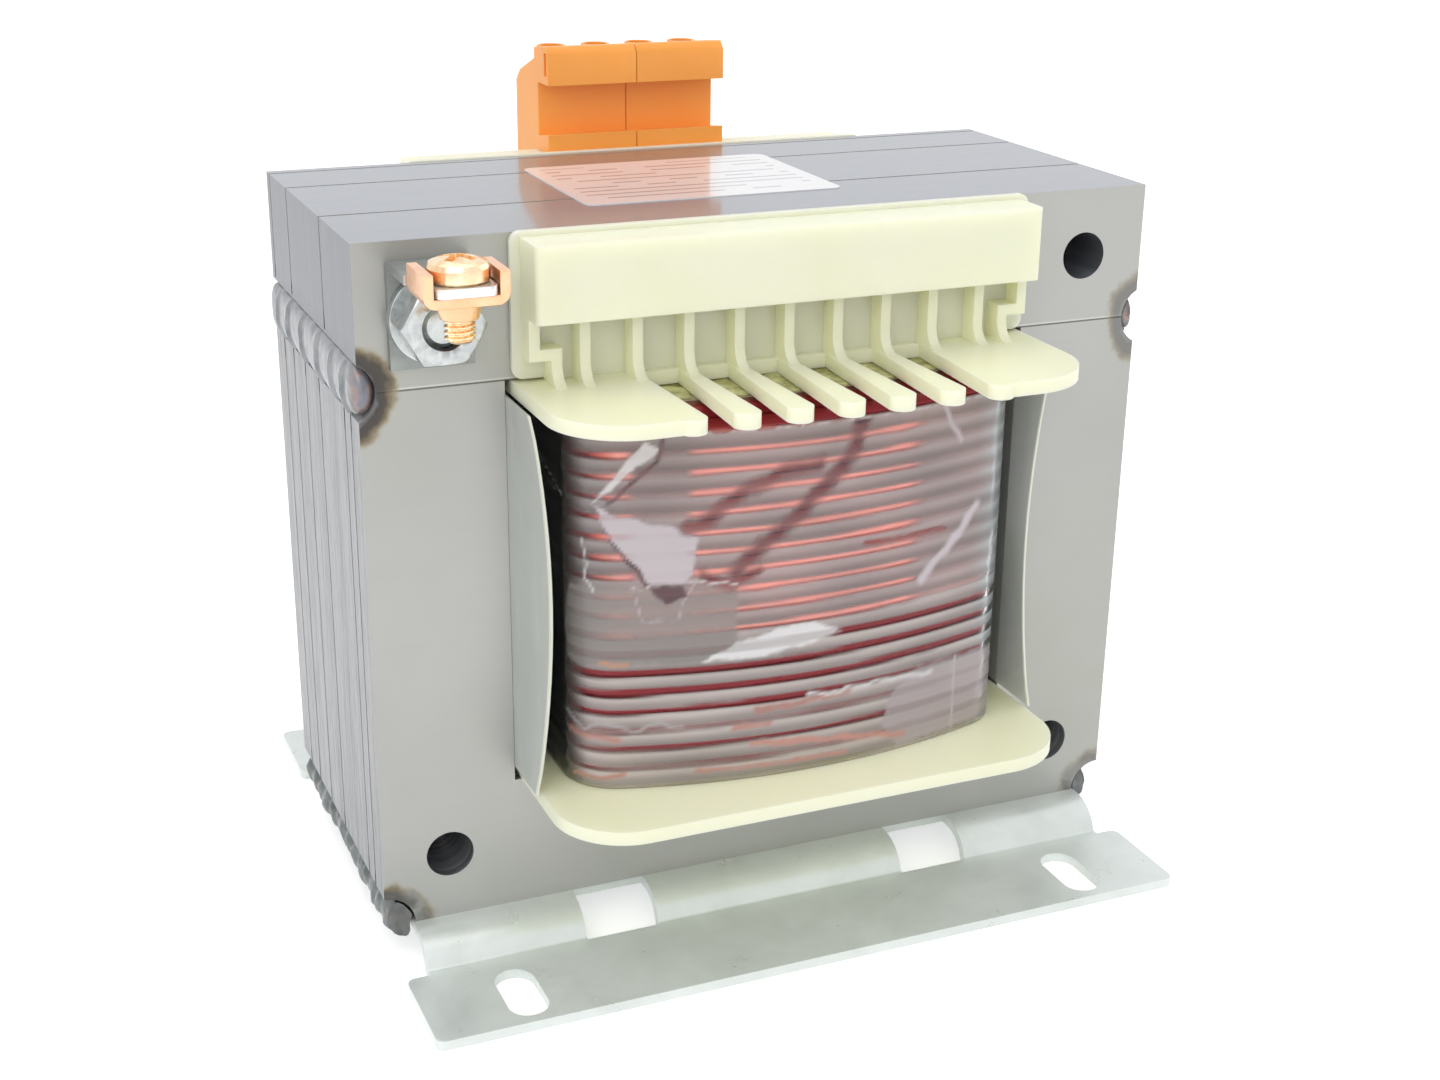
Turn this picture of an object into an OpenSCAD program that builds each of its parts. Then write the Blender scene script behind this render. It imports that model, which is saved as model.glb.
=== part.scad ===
// Laminated chassis transformer: a welded core of E and I sheets on two slotted foot brackets,
// a moulded bobbin with terminal combs front and rear, two windings under a clear film,
// screw terminals behind and an earth terminal on the front.
// The origin is on the floor, under the middle of the stack. Z is up and the front faces -Y.

/* [Core] */
// Width across the two outer legs
core_w = 120; // [112:1:140]
// Depth of the stack of sheets
stack_d = 53; // [40:1:80]
// Width of each outer leg
leg_w = 20; // [15:0.5:24]
// Width of each winding window
window_w = 20; // [18:0.5:22]
// Height of the winding windows
window_h = 60; // [45:1:80]
// Height of the E sheets' bottom yoke
bottom_yoke_h = 20; // [15:0.5:28]
// Height of the I sheets
top_yoke_h = 20; // [20:0.5:26]
// Diameter of the four holes through the stack
core_hole_d = 7; // [6.4:0.1:8]
// Distance of each hole from the two edges beside it
core_hole_inset = 10; // [8:0.5:10.5]
// Radius of the round weld notches at the seam
notch_r = 4.4; // [3:0.1:5]
// Depth of the weld notches at the seam
notch_depth = 2.4; // [1.5:0.1:2.8]
// Radius of the round notch along each bottom corner
corner_notch_r = 4.5; // [3:0.1:5.5]
// Depth of the grooves where a sheet lies a little further in
slip_depth = 0.3; // [0.1:0.05:0.6]
// Width of those grooves, about one sheet
slip_w = 0.5; // [0.3:0.01:0.7]

/* [Welds] */
// Radius of the lumps in the seam welds
seam_lump_r = 5.2; // [4.8:0.1:5.6]
// Distance between the lumps of the seam welds
seam_lump_pitch = 4.4; // [3.6:0.1:5.2]
// How far the left seam weld stands out of the side face
seam_out_left = 1.3; // [0.6:0.1:1.6]
// How far the right seam weld lies in from the side face
seam_in_right = 0.6; // [0.2:0.1:1]
// Radius of the lumps in the bottom welds
foot_lump_r = 3.9; // [3.5:0.1:4.3]
// Distance between the lumps of the bottom welds
foot_lump_pitch = 3.6; // [3:0.1:4.2]
// How far the left bottom weld stands out of the side face
foot_out_left = 0.4; // [0:0.1:0.8]
// How far the right bottom weld lies in from the side face
foot_in_right = 0.7; // [0.3:0.1:1.1]

/* [Foot brackets] */
// Thickness of the bracket sheet
sheet_t = 1.5; // [1:0.1:2.5]
// How far the web and the flange stop short of the core's side faces
web_inset = 4.2; // [4.2:0.1:7]
// How far the foot plates stand out past the web at each end
foot_ear = 3.45; // [1.5:0.05:10]
// How far each foot plate reaches out from the core face
foot_reach = 24.5; // [22:0.5:32]
// Height of the core above the top of the foot plates
foot_drop = 4.25; // [3.5:0.05:6]
// Depth of the flange under the core
flange_under = 15; // [10:0.5:19]
// Length of flange that stays flat in front of the core before the bend
bend_start = 1.3; // [0.5:0.1:2.5]
// Steepest slope of the web, in degrees
bend_angle = 70; // [55:1:80]
// Inside radius of the sharp bend at the foot
foot_bend_r = 0.5; // [0.3:0.1:1]
// Distance from the centre plane to the inner side of each web window
web_window_x = 20.4; // [16:0.2:24]
// Width of each web window
web_window_w = 11.3; // [6:0.1:14]
// Width of the mounting slots
slot_w = 5.8; // [4.5:0.1:6.6]
// End-to-end length of the mounting slots
slot_len = 12; // [8:0.5:12.4]
// Distance between the slots along the foot
slot_span_x = 90; // [80:0.5:96]
// Distance from the front edge of a foot plate to the end of its slots
slot_margin = 1.6; // [1.2:0.1:2.4]

/* [Bobbin] */
// Play between the bobbin tube and the centre leg
leg_play = 0.25; // [0.1:0.05:0.5]
// Wall of the bobbin tube
tube_wall = 1.4; // [1:0.1:2]
// Thickness of both flanges
flange_t = 2; // [1.4:0.1:3]
// Play between the flanges and the yokes
yoke_play = 0.2; // [0.1:0.05:0.5]
// Play between the flanges and the outer legs
flange_play = 0.9; // [0.7:0.1:1.5]
// How far the flanges reach out from the core face
flange_reach = 24.9; // [22:0.1:30]
// Corner radius of the flanges
flange_corner_r = 10.5; // [5:0.5:14]
// Distance between the ribs of the combs
rib_pitch = 7.5; // [7:0.05:7.7]
// Thickness of the ribs
rib_t = 1.5; // [1:0.1:2]
// How far the ribs stand out from the core face
rib_out = 4.3; // [3.5:0.1:5.5]
// Radius where a rib runs out onto its finger
rib_fillet_r = 3; // [1.5:0.1:4]
// Width of a finger at its round tip
finger_tip_w = 3.8; // [2.8:0.1:4.4]
// Thickness of the comb's back plate
plate_t = 1; // [0.7:0.1:1.4]
// Height of the comb's back plate
plate_h = 20; // [18:0.5:24]
// Height of the terminal rail above the seam
rail_lift = 9.1; // [8:0.1:11]
// Height of the terminal rail
rail_h = 10.4; // [7:0.1:11]
// How far the terminal rail stands out from the core face
rail_out = 8; // [6.5:0.1:11]
// Wall of the terminal rail
rail_wall = 1.6; // [1:0.1:2.2]
// Distance of the end ribs from the last rib of the comb
end_rib_gap = 4; // [3.6:0.1:4.6]
// How far the terminal rail reaches out past the end ribs
rail_overhang = 3.8; // [3:0.1:4.6]
// How far the comb's back plate reaches out past the rail's ends
plate_edge = 1.4; // [0.8:0.1:2]
// How far the fingers reach out past the flange's edge
finger_over = 0.9; // [0.3:0.1:1.6]
// Height of the rail's end hooks above the seam
hook_lift = 3.3; // [2.5:0.1:4.5]
// Thickness of the hooks
hook_t = 1.6; // [1:0.1:2.2]

/* [Coil] */
// Radial build of the primary winding
primary_build = 6.1; // [4:0.1:6]
// Thickness of the insulation between the windings
insulation_t = 0.5; // [0.3:0.1:0.8]
// Diameter of the secondary's enamelled wire
wire_d = 2.8; // [2:0.05:3]
// Distance between the secondary's turns
turn_pitch = 2.89; // [2.6:0.01:3.4]
// Corner radius of the coil's outside
coil_corner_r = 8.3; // [7:0.1:9]
// How far the middle of the coil's front and rear stand out past an even build
coil_bulge = 2.2; // [1:0.1:3]
// Half the angle of the bulging front, in degrees
bulge_angle = 17; // [12:1:20]
// Thickness of the clear film round the coil
film_t = 0.2; // [0.1:0.05:0.4]
// How far the film's top edge stays below the top flange
film_stop = 3; // [0.5:0.1:6]
// Thickness of the tape over the coil's top end
end_tape_t = 0.4; // [0.2:0.05:0.6]
// Thickness of the insulating sheets beside the coil
board_t = 0.3; // [0.2:0.05:0.4]
// How far the insulating sheets reach out from the core face
board_reach = 9.9; // [5:0.1:14]
// How far the free edges of the sheets lean in at mid-height
board_lean = 2.6; // [0.5:0.1:3.2]

/* [Terminal blocks] */
// Depth of a terminal block
block_d = 16.3; // [15.5:0.1:20]
// Distance of the blocks from the core face
block_gap = 2; // [1.2:0.1:3]
// Height of a block above the rail
block_h = 16.6; // [15.6:0.1:20]
// Height of the leg that hooks behind the rail
block_leg_h = 13.5; // [12:0.1:15]
// Depth of the groove along the block's back
groove_d = 5; // [3:0.1:5.5]
// Height of the block's upper ledge
ledge_h = 5.9; // [4:0.1:7]
// Height of the block's lower ledge
lower_ledge_h = 3.1; // [2:0.1:4]
// Diameter of the screw towers
tower_d = 4.6; // [4.2:0.1:5.2]
// Diameter of the terminal screws
terminal_screw_d = 3; // [2.5:0.1:3]
// Distance of the terminal screws from the block's front
screw_in = 9.2; // [8.8:0.1:9.8]
// Depth of the raised strip along the block's front
crest_d = 6.8; // [6:0.1:6.9]
// Height of the step behind that strip
crest_step = 1.7; // [1:0.1:2.2]
// How far the top has fallen where it reaches the block's rear
back_fall = 5; // [4:0.1:5.4]
// Depth of the bevel along the rear edge
back_bevel_d = 2; // [1:0.1:2.4]
// Height of the bevel along the rear edge
back_bevel_h = 1.8; // [1:0.1:2.4]
// How far below the top of the wire entries the terminal screws end
screw_seat = 0.2; // [0.1:0.1:0.4]
// How far the heads of the terminal screws lie under the block's top
screw_sink = 2.6; // [1.5:0.1:3.5]
// Width of the wire entries
entry_w = 3.6; // [2.5:0.1:3.8]
// Height of the wire entries
entry_h = 3.8; // [3:0.1:4.4]
// Wall of the wire cages
cage_wall = 0.8; // [0.5:0.1:1.1]
// Thickness of the cages' floor
cage_floor = 0.7; // [0.5:0.1:1]
// Thickness of the cages' threaded roof
cage_roof = 1.6; // [1.2:0.1:1.8]

/* [Earth terminal] */
// Width of the earth bracket
earth_w = 11.4; // [10.8:0.1:14]
// Height of the earth bracket
earth_h = 14.6; // [13.8:0.1:16]
// Thickness of the earth bracket
earth_t = 1.2; // [0.8:0.1:1.6]
// How far the earth bracket's tongue reaches out from the core face
tongue_out = 18.9; // [17.5:0.1:22]
// Width of the tongue between the clamp's arms
tongue_w = 8; // [7:0.1:9]
// Diameter of the earth bolt's thread
bolt_d = 6; // [5:0.1:6.2]
// Length of the earth bolt under its head
bolt_extra = 7; // [6.4:0.1:9]
// Width across the flats of the earth bolt's head and nut
bolt_af = 10; // [9:0.1:10.6]
// Height of the earth nut
nut_h = 5; // [4:0.1:5.2]
// Height of the earth bolt's head
bolt_head_h = 4; // [3:0.1:4.2]
// Thickness of the washer under the nut
washer_t = 1.6; // [1:0.1:2]
// Diameter of the washer under the nut
washer_d = 12; // [10.5:0.1:12.4]
// Depth of the clamp, along the tongue
clamp_d = 8; // [6.5:0.1:8.4]
// Thickness of the clamp
clamp_t = 1.3; // [0.8:0.1:1.6]
// Height of the clamp's arms over the tongue
clamp_arm = 1.8; // [1:0.1:2.4]
// Diameter of the clamp screw's thread
clamp_screw_d = 4; // [3:0.1:4.4]
// Length of the clamp screw under its head
clamp_screw_len = 7.8; // [7:0.1:9]
// Diameter of the clamp screw's head
clamp_head_d = 8; // [7:0.1:8.2]
// Height of the clamp screw's head
clamp_head_h = 3.2; // [2.6:0.1:3.4]
// Height of the collar under the clamp
collar_h = 2.2; // [1.5:0.1:3]

/* [Label] */
// Width of the rating label
label_w = 39.6; // [30:0.1:60]
// Depth of the rating label
label_d = 29.6; // [20:0.1:34]
// Distance of the label's middle from the middle of the top, to the left
label_left = 3.8; // [0:0.1:8]
// Distance of the label's middle from the middle of the top, to the rear
label_back = 0.8; // [0:0.1:1.2]
// Thickness of the rating label
label_t = 0.12; // [0.08:0.01:0.2]

/* [Hidden] */

$fn = 48;
eps = 0.01;
// Gap between faces that would touch along a curve
skin = 0.05;
// Gap between a thread and its nut
thread_gap = 0.05;

// Levels of the core
core_z = sheet_t + foot_drop;
window_z = core_z + bottom_yoke_h;
seam_z = window_z + window_h;
top_z = seam_z + top_yoke_h;
face_y = stack_d / 2;
centre_leg_w = core_w - 2 * (leg_w + window_w);
core_x = core_w / 2;
hole_x = core_x - core_hole_inset;
hole_low_z = core_z + core_hole_inset;
hole_high_z = top_z - core_hole_inset;

// Sheets that lie a little further in, by their place in the stack from the front
e_slips = [0.09, 0.16, 0.45, 0.62, 0.77, 0.89];
i_slips = [0.34, 0.74, 0.96];

// Bobbin
tube_x = centre_leg_w / 2 + leg_play + tube_wall;
tube_y = face_y + leg_play + tube_wall;
flange_x = centre_leg_w / 2 + window_w - flange_play;
flange_y = face_y + flange_reach;
flange_low_z = window_z + yoke_play;
flange_high_z = seam_z - yoke_play - flange_t;
coil_z = flange_low_z + flange_t;
coil_top_z = flange_high_z;
ribs_per_side = 4;
end_rib_x = ribs_per_side * rib_pitch + end_rib_gap;
rail_end_x = end_rib_x + rail_overhang;
plate_x = rail_end_x + plate_edge;
plate_gap = 0.1;
plate_y = face_y + plate_gap;
plate_low_z = seam_z + yoke_play;
plate_corner_r = 1.5;
rail_corner_r = 1;
rail_z = seam_z + rail_lift;
rail_top_z = rail_z + rail_h;
finger_end_y = flange_y + finger_over;
slot_web = 1.3;
slot_end_y = plate_y + plate_t + slot_web;
hook_z = seam_z + hook_lift;

// Coil plan: straight sides, round corners and bulging front and rear
winding_gap = 0.1;
layers = 2;
join_trim = 0.02;
primary_x = tube_x + winding_gap + primary_build;
insulation_x = primary_x + skin + insulation_t;
coil_x = insulation_x + skin + layers * wire_d;
coil_front_y = tube_y + coil_x - tube_x + coil_bulge;
corner_x = coil_x - coil_corner_r;
bulge_r = coil_corner_r + corner_x / sin(bulge_angle);
bulge_c = bulge_r - coil_front_y;
corner_y = (bulge_r - coil_corner_r) * cos(bulge_angle) - bulge_c;
winding_z = coil_z + winding_gap;
winding_top_z = coil_top_z - end_tape_t - 2 * skin;
turns = floor((winding_top_z - winding_z) / turn_pitch);
turn_step = (winding_top_z - winding_z) / turns;

// Terminal blocks
poles = 2;
pole_pitch = rib_pitch;
block_play = 0.1;
block_w = poles * pole_pitch - block_play;
block_y = face_y + block_gap;
block_z = rail_top_z;
block_top_z = block_z + block_h;
wall_gap = 0.3;
block_leg_y = face_y + rail_out + wall_gap;
block_low_z = rail_top_z - block_leg_h;
screw_y = block_y + screw_in;
crest_fall = 0.6;
crest_bevel = 1.2;
ledge_fall = 0.7;
tower_top_z = block_top_z - 0.7;
tower_root = 1;
bore_play = 0.6;
pocket_w = 1.2;
pocket_h = 3.6;
pocket_depth = 1;
pocket_in = 0.6;
chamber_w = 5.8;
chamber_d = 6.6;
chamber_h = 7.2;
chamber_drop = 4;
chamber_z = block_z - chamber_drop;
entry_lift = 0.9;
screw_seat_z = chamber_z + entry_lift + entry_h - screw_seat;
screw_top_z = block_top_z - screw_sink;
screw_slot_w = 0.7;
screw_slot_h = 1;
contact_t = 0.9;
contact_w = 3;
contact_tail = 2.4;
primary_lead_d = 1.6;
secondary_lead_d = 2.4;
lead_lift = 2.2;
lead_turn_z = seam_z + lead_lift;

// Label
label_corner_r = 1.5;

// Earth terminal
earth_x = -hole_x;
earth_bend_r = 0.5;
earth_top_z = hole_high_z + washer_d / 2 + earth_bend_r + earth_t;
hole_play = 0.4;
clamp_gap = 0.2;
clamp_margin = 0.4;
clamp_y = face_y + tongue_out - clamp_margin - clamp_d / 2;
shoulder_y = clamp_y - clamp_d / 2 - clamp_margin;
tongue_corner_r = 1.2;
clamp_x = tongue_w / 2 + clamp_gap + clamp_t;
clamp_top_z = earth_top_z + clamp_arm;
clamp_floor_z = earth_top_z - earth_t - skin;
clamp_corner_r = 1.6;
collar_low_wall = 0.9;
collar_high_wall = 2;
head_dome_r = 9;
head_edge_r = 0.25;
head_edge_z = 0.9;
recess_w = 0.9;
recess_depth = 1.3;
recess_share = 0.55;

// Foot brackets
web_w = core_w - 2 * web_inset;
foot_len = web_w + 2 * foot_ear;
bend_r = foot_drop_radius();
foot_y = face_y + bend_start + (bend_r + foot_bend_r) * sin(bend_angle);
notch_gap = 0.6;
foot_corner_r = 1.2;
window_start = 0.5;
slot_y = face_y + foot_reach - slot_margin - slot_len / 2;

// Outside radius of the upper bend that drops by foot_drop in all, less the tight lower bend
function foot_drop_radius() =
    (foot_drop - foot_bend_r * (1 - cos(bend_angle))) / (1 - cos(bend_angle));

// Welds
foot_lump_lift = 0.8;

// ---------- Helpers ----------

module both_sides() {
    children();
    mirror([1, 0, 0]) children();
}

module front_and_rear() {
    children();
    mirror([0, 1, 0]) children();
}

module rounded_square(w, d, r) {
    for (x = [-1, 1], y = [-1, 1])
        translate([x * (w / 2 - r), y * (d / 2 - r)]) circle(r = r);
    square([w - 2 * r, d], center = true);
    square([w, d - 2 * r], center = true);
}

// A prism through the stack, front to rear
module through_y(x, z, d, len) {
    translate([x, 0, z]) rotate([90, 0, 0]) cylinder(d = d, h = len, center = true);
}

// Sheet profile drawn in the Y-Z plane and run along X
module along_x(len) {
    rotate([90, 0, 90]) linear_extrude(height = len, center = true) children();
}

// A quarter or less of a ring, from angle a0 to a1, both counted from +X
module ring_sector(r_in, r_out, a0, a1) {
    reach = 2 * r_out;
    intersection() {
        difference() {
            circle(r = r_out);
            circle(r = r_in);
        }
        polygon([[0, 0], [reach * cos(a0), reach * sin(a0)],
            [reach * cos((a0 + a1) / 2), reach * sin((a0 + a1) / 2)],
            [reach * cos(a1), reach * sin(a1)]]);
    }
}

// ---------- Core ----------

// Shallow grooves round the outside where single sheets lie a little further in
module slip_lines(low_z, high_z, places) {
    difference() {
        for (place = places)
            translate([-core_w, -face_y + stack_d * place - slip_w / 2, low_z])
                cube([2 * core_w, slip_w, high_z - low_z + core_w]);
        translate([-core_x + slip_depth, -stack_d, low_z - 1])
            cube([core_w - 2 * slip_depth, 2 * stack_d, high_z - slip_depth - low_z + 1]);
    }
}

module seam_notches() {
    both_sides()
        through_y(core_x - notch_depth + notch_r, seam_z, 2 * notch_r, stack_d + 2);
}

module e_laminations() {
    color("lightslategray") difference() {
        translate([-core_x, -face_y, core_z])
            cube([core_w, stack_d, bottom_yoke_h + window_h]);
        both_sides() {
            translate([centre_leg_w / 2, -stack_d, window_z])
                cube([window_w, 2 * stack_d, window_h + 1]);
            through_y(hole_x, hole_low_z, core_hole_d, stack_d + 2);
            through_y(core_x, core_z, 2 * corner_notch_r, stack_d + 2);
        }
        seam_notches();
        slip_lines(core_z + corner_notch_r, seam_z + core_w, e_slips);
    }
}

module i_laminations() {
    color("slategray") difference() {
        translate([-core_x, -face_y, seam_z]) cube([core_w, stack_d, top_yoke_h]);
        both_sides()
            through_y(hole_x, hole_high_z, core_hole_d, stack_d + 2);
        seam_notches();
        slip_lines(seam_z + notch_r, top_z, i_slips);
    }
}

// A row of overlapping weld lumps along Y, centred on the local origin
module weld_lumps(r, pitch) {
    count = floor(stack_d / pitch);
    step = stack_d / count;
    for (i = [0:count - 1])
        translate([0, -face_y + step * (i + 0.5), 0]) sphere(r = r);
}

// The lumps fill the notch and stand out from the side face by bulge
module seam_weld(bulge) {
    intersection() {
        through_y(core_x - notch_depth + notch_r, seam_z, 2 * (notch_r - skin), stack_d);
        translate([core_x + bulge - seam_lump_r, 0, seam_z])
            weld_lumps(seam_lump_r, seam_lump_pitch);
    }
}

module seam_weld_left() { color("gray") mirror([1, 0, 0]) seam_weld(seam_out_left); }
module seam_weld_right() { color("gray") seam_weld(-seam_in_right); }

// The lumps fill the corner notch and run down beside the brackets' flanges
module foot_weld(bulge) {
    difference() {
        intersection() {
            through_y(core_x, core_z, 2 * (corner_notch_r - skin), stack_d);
            translate([core_x + bulge - foot_lump_r, 0, core_z + foot_lump_lift])
                weld_lumps(foot_lump_r, foot_lump_pitch);
        }
        translate([-core_x, -stack_d, core_z - 2 * corner_notch_r])
            cube([core_x + web_w / 2 + skin, 2 * stack_d, 2 * corner_notch_r]);
    }
}

module foot_weld_left() { color("dimgray") mirror([1, 0, 0]) foot_weld(foot_out_left); }
module foot_weld_right() { color("dimgray") foot_weld(-foot_in_right); }

// ---------- Foot brackets ----------

// Section of one bracket, at its true bends, in Y (towards the foot) and Z
module bracket_section() {
    low_z = core_z - bend_r * (1 - cos(bend_angle));
    // Flange under the core
    translate([face_y - flange_under, core_z - sheet_t])
        square([flange_under + bend_start, sheet_t]);
    // Wide bend over the front
    translate([face_y + bend_start, core_z - bend_r])
        ring_sector(bend_r - sheet_t, bend_r, 90 - bend_angle, 90);
    // Tight bend at the foot
    translate([foot_y, low_z + foot_bend_r * cos(bend_angle)])
        ring_sector(foot_bend_r, foot_bend_r + sheet_t, 270 - bend_angle, 270);
    // Foot plate
    translate([foot_y, 0]) square([face_y + foot_reach - foot_y, sheet_t]);
}

module foot_bracket() {
    ear_y = foot_y + notch_gap;
    plate_reach = face_y + foot_reach - ear_y;
    difference() {
        intersection() {
            along_x(foot_len) bracket_section();
            union() {
                translate([0, ear_y + plate_reach / 2, -1]) linear_extrude(height = core_z + 2)
                    rounded_square(foot_len, plate_reach, foot_corner_r);
                translate([-web_w / 2, 0, -1])
                    cube([web_w, foot_y + 2, core_z + 2]);
            }
        }
        both_sides() {
            translate([web_window_x, face_y - window_start, -1])
                cube([web_window_w, foot_y - face_y + window_start, core_z + 2]);
            translate([slot_span_x / 2, slot_y, -1]) mounting_slot();
        }
    }
}

module mounting_slot() {
    for (y = [-1, 1])
        translate([0, y * (slot_len - slot_w) / 2, 0]) cylinder(d = slot_w, h = sheet_t + 2);
    translate([-slot_w / 2, -(slot_len - slot_w) / 2, 0])
        cube([slot_w, slot_len - slot_w, sheet_t + 2]);
}

module foot_bracket_rear() { color("gainsboro") foot_bracket(); }
module foot_bracket_front() { color("gainsboro") mirror([0, 1, 0]) foot_bracket(); }

// ---------- Bobbin ----------

// Plan of one finger of the top flange, its rib end at the core and a round tip
module finger_plan() {
    tip_r = finger_tip_w / 2;
    tip_y = finger_end_y - tip_r;
    polygon([[-rib_t / 2, plate_y], [rib_t / 2, plate_y], [tip_r, tip_y], [-tip_r, tip_y]]);
    translate([0, tip_y]) circle(r = tip_r);
}

// The two outermost slots lie between the second and third rib, counted from the end
module top_flange_plan() {
    inner_pad_x = (ribs_per_side - 1) * rib_pitch;
    difference() {
        rounded_square(2 * flange_x, 2 * flange_y, flange_corner_r);
        front_and_rear()
            translate([-inner_pad_x, slot_end_y])
            square([2 * inner_pad_x, flange_reach + finger_end_y]);
    }
    front_and_rear()
        for (i = [1 - ribs_per_side:ribs_per_side - 1])
            translate([i * rib_pitch, 0]) finger_plan();
}

// Side view of a rib in Y and Z: upright on the plate, running out onto its finger
module rib_section(high_z) {
    root_z = seam_z - yoke_play - eps;
    translate([plate_y, root_z]) square([face_y + rib_out - plate_y, high_z - root_z]);
    difference() {
        translate([plate_y, root_z])
            square([face_y + rib_out - plate_y + rib_fillet_r, rib_fillet_r]);
        translate([face_y + rib_out + rib_fillet_r, root_z + rib_fillet_r])
            circle(r = rib_fillet_r);
    }
}

module rib(x) {
    translate([x, 0, 0]) along_x(rib_t) rib_section(rail_top_z - rail_wall / 2);
}

// The end rib stops at the hook, where the rail's end wall comes down outside it
module rail_end() {
    wall_x = rail_end_x - rib_t;
    translate([end_rib_x, 0, 0]) along_x(rib_t) rib_section(hook_z + hook_t);
    translate([end_rib_x - rib_t / 2, plate_y, hook_z])
        cube([rail_end_x - end_rib_x + rib_t / 2, face_y + rib_out - plate_y, hook_t]);
    translate([wall_x, plate_y, hook_z])
        cube([rib_t, face_y + rib_out - plate_y, rail_top_z - hook_z - eps]);
}

// Comb and terminal rail on the rear side; the front one mirrors it
module comb() {
    // Back plate on the core face, with its lower middle down to the flange
    translate([0, plate_y, 0]) mirror([0, 1, 0]) rotate([90, 0, 0])
        linear_extrude(height = plate_t)
        translate([0, plate_low_z + plate_h / 2])
        rounded_square(2 * plate_x, plate_h, plate_corner_r);
    translate([-end_rib_x - rib_t / 2, plate_y, seam_z - yoke_play - eps])
        cube([2 * end_rib_x + rib_t, plate_t, plate_low_z - seam_z + yoke_play + 2]);
    // Ribs
    for (i = [-ribs_per_side:ribs_per_side]) rib(i * rib_pitch);
    both_sides() rail_end();
    // Rail: a channel open below, with rounded front edges
    difference() {
        translate([0, 0, rail_z]) linear_extrude(height = rail_h) rail_plan(0);
        translate([0, 0, rail_z - 1]) linear_extrude(height = rail_h - rail_wall + 1)
            rail_plan(rail_wall);
    }
}

// Outline of the rail seen from above, drawn in by inset
module rail_plan(inset) {
    r = rail_corner_r;
    x = rail_end_x - inset;
    y = face_y + rail_out - inset;
    for (s = [-1, 1]) translate([s * (x - r), y - r]) circle(r = r);
    translate([-x, plate_y]) square([2 * x, y - r - plate_y]);
    translate([-x + r, plate_y]) square([2 * (x - r), y - plate_y]);
}

module bobbin() {
    inner_x = 2 * (centre_leg_w / 2 + leg_play);
    inner_y = 2 * (face_y + leg_play);
    color("ivory") {
        difference() {
            union() {
                translate([0, 0, flange_low_z]) linear_extrude(height = flange_t)
                    rounded_square(2 * flange_x, 2 * flange_y, flange_corner_r);
                translate([-tube_x, -tube_y, flange_low_z])
                    cube([2 * tube_x, 2 * tube_y, flange_high_z + flange_t - flange_low_z]);
                translate([0, 0, flange_high_z]) linear_extrude(height = flange_t)
                    top_flange_plan();
            }
            translate([-inner_x / 2, -inner_y / 2, 0]) cube([inner_x, inner_y, top_z]);
        }
        front_and_rear() comb();
    }
}

// ---------- Coil ----------

// Plan of the coil, drawn out from its outside by grow, or in where grow is negative
module coil_plan(grow) {
    half_plan_reach = bulge_r + core_w;
    for (x = [-1, 1], y = [-1, 1])
        translate([x * corner_x, y * corner_y]) circle(r = coil_corner_r + grow);
    square([2 * (coil_x + grow), 2 * corner_y], center = true);
    front_and_rear() intersection() {
        translate([0, -bulge_c]) circle(r = bulge_r + grow, $fn = 180);
        polygon([[-(corner_y + bulge_c) * tan(bulge_angle), corner_y],
            [-(half_plan_reach + bulge_c) * tan(bulge_angle), half_plan_reach],
            [(half_plan_reach + bulge_c) * tan(bulge_angle), half_plan_reach],
            [(corner_y + bulge_c) * tan(bulge_angle), corner_y]]);
    }
}

// A layer of the coil between two outlines
module coil_layer(low_z, high_z, grow_out, grow_in) {
    translate([0, 0, low_z]) linear_extrude(height = high_z - low_z) difference() {
        coil_plan(grow_out);
        coil_plan(grow_in);
    }
}

module primary_winding() {
    color("sienna") translate([0, 0, winding_z]) linear_extrude(height = winding_top_z - winding_z)
        difference() {
            coil_plan(primary_x - coil_x);
            square([2 * (tube_x + winding_gap), 2 * (tube_y + winding_gap)], center = true);
        }
}

module interwinding_insulation() {
    color("khaki") coil_layer(winding_z, winding_top_z, insulation_x - coil_x,
        primary_x + skin - coil_x);
}

// Section of the secondary: a flat inside and one round ridge for each turn.
// reach is the distance from the axis of the sweep to the coil's outside; the skin of the
// section is drawn in by trim.
function turn_ridge(i, reach) = [for (a = [-72:36:72])
    [reach - wire_d / 2 + wire_d / 2 * cos(a),
     winding_z + turn_step * (i + 0.5) + turn_step / 2 * sin(a) / sin(80)]];

function winding_section(reach, trim = 0) = concat(
    [[reach - layers * wire_d + trim, winding_top_z - trim],
     [reach - layers * wire_d + trim, winding_z + trim],
     [reach - wire_d / 2, winding_z + trim]],
    [for (i = [0:turns - 1]) each turn_ridge(i, reach - trim)],
    [[reach - wire_d / 2, winding_top_z - trim]]);

// The bulging front and rear end a little inside the corners, so that they grow together
module secondary_winding() {
    join_angle = 0.18;
    color("indianred") {
        both_sides() {
            rotate([90, 0, 0]) linear_extrude(height = 2 * corner_y, center = true)
                polygon(winding_section(coil_x));
            front_and_rear() translate([corner_x, corner_y, 0])
                rotate_extrude(angle = 90 - bulge_angle)
                polygon(winding_section(coil_corner_r));
        }
        front_and_rear() translate([0, -bulge_c, 0])
            rotate([0, 0, 90 - bulge_angle - join_angle])
            rotate_extrude(angle = 2 * (bulge_angle + join_angle), $fn = 180)
            polygon(winding_section(bulge_r, join_trim));
    }
}

// Tape folded over the top end of the inner windings
module end_tape() {
    color("yellowgreen") translate([0, 0, winding_top_z + skin])
        linear_extrude(height = end_tape_t) difference() {
            coil_plan(insulation_x - coil_x);
            square([2 * (tube_x + winding_gap), 2 * (tube_y + winding_gap)], center = true);
        }
}

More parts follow.
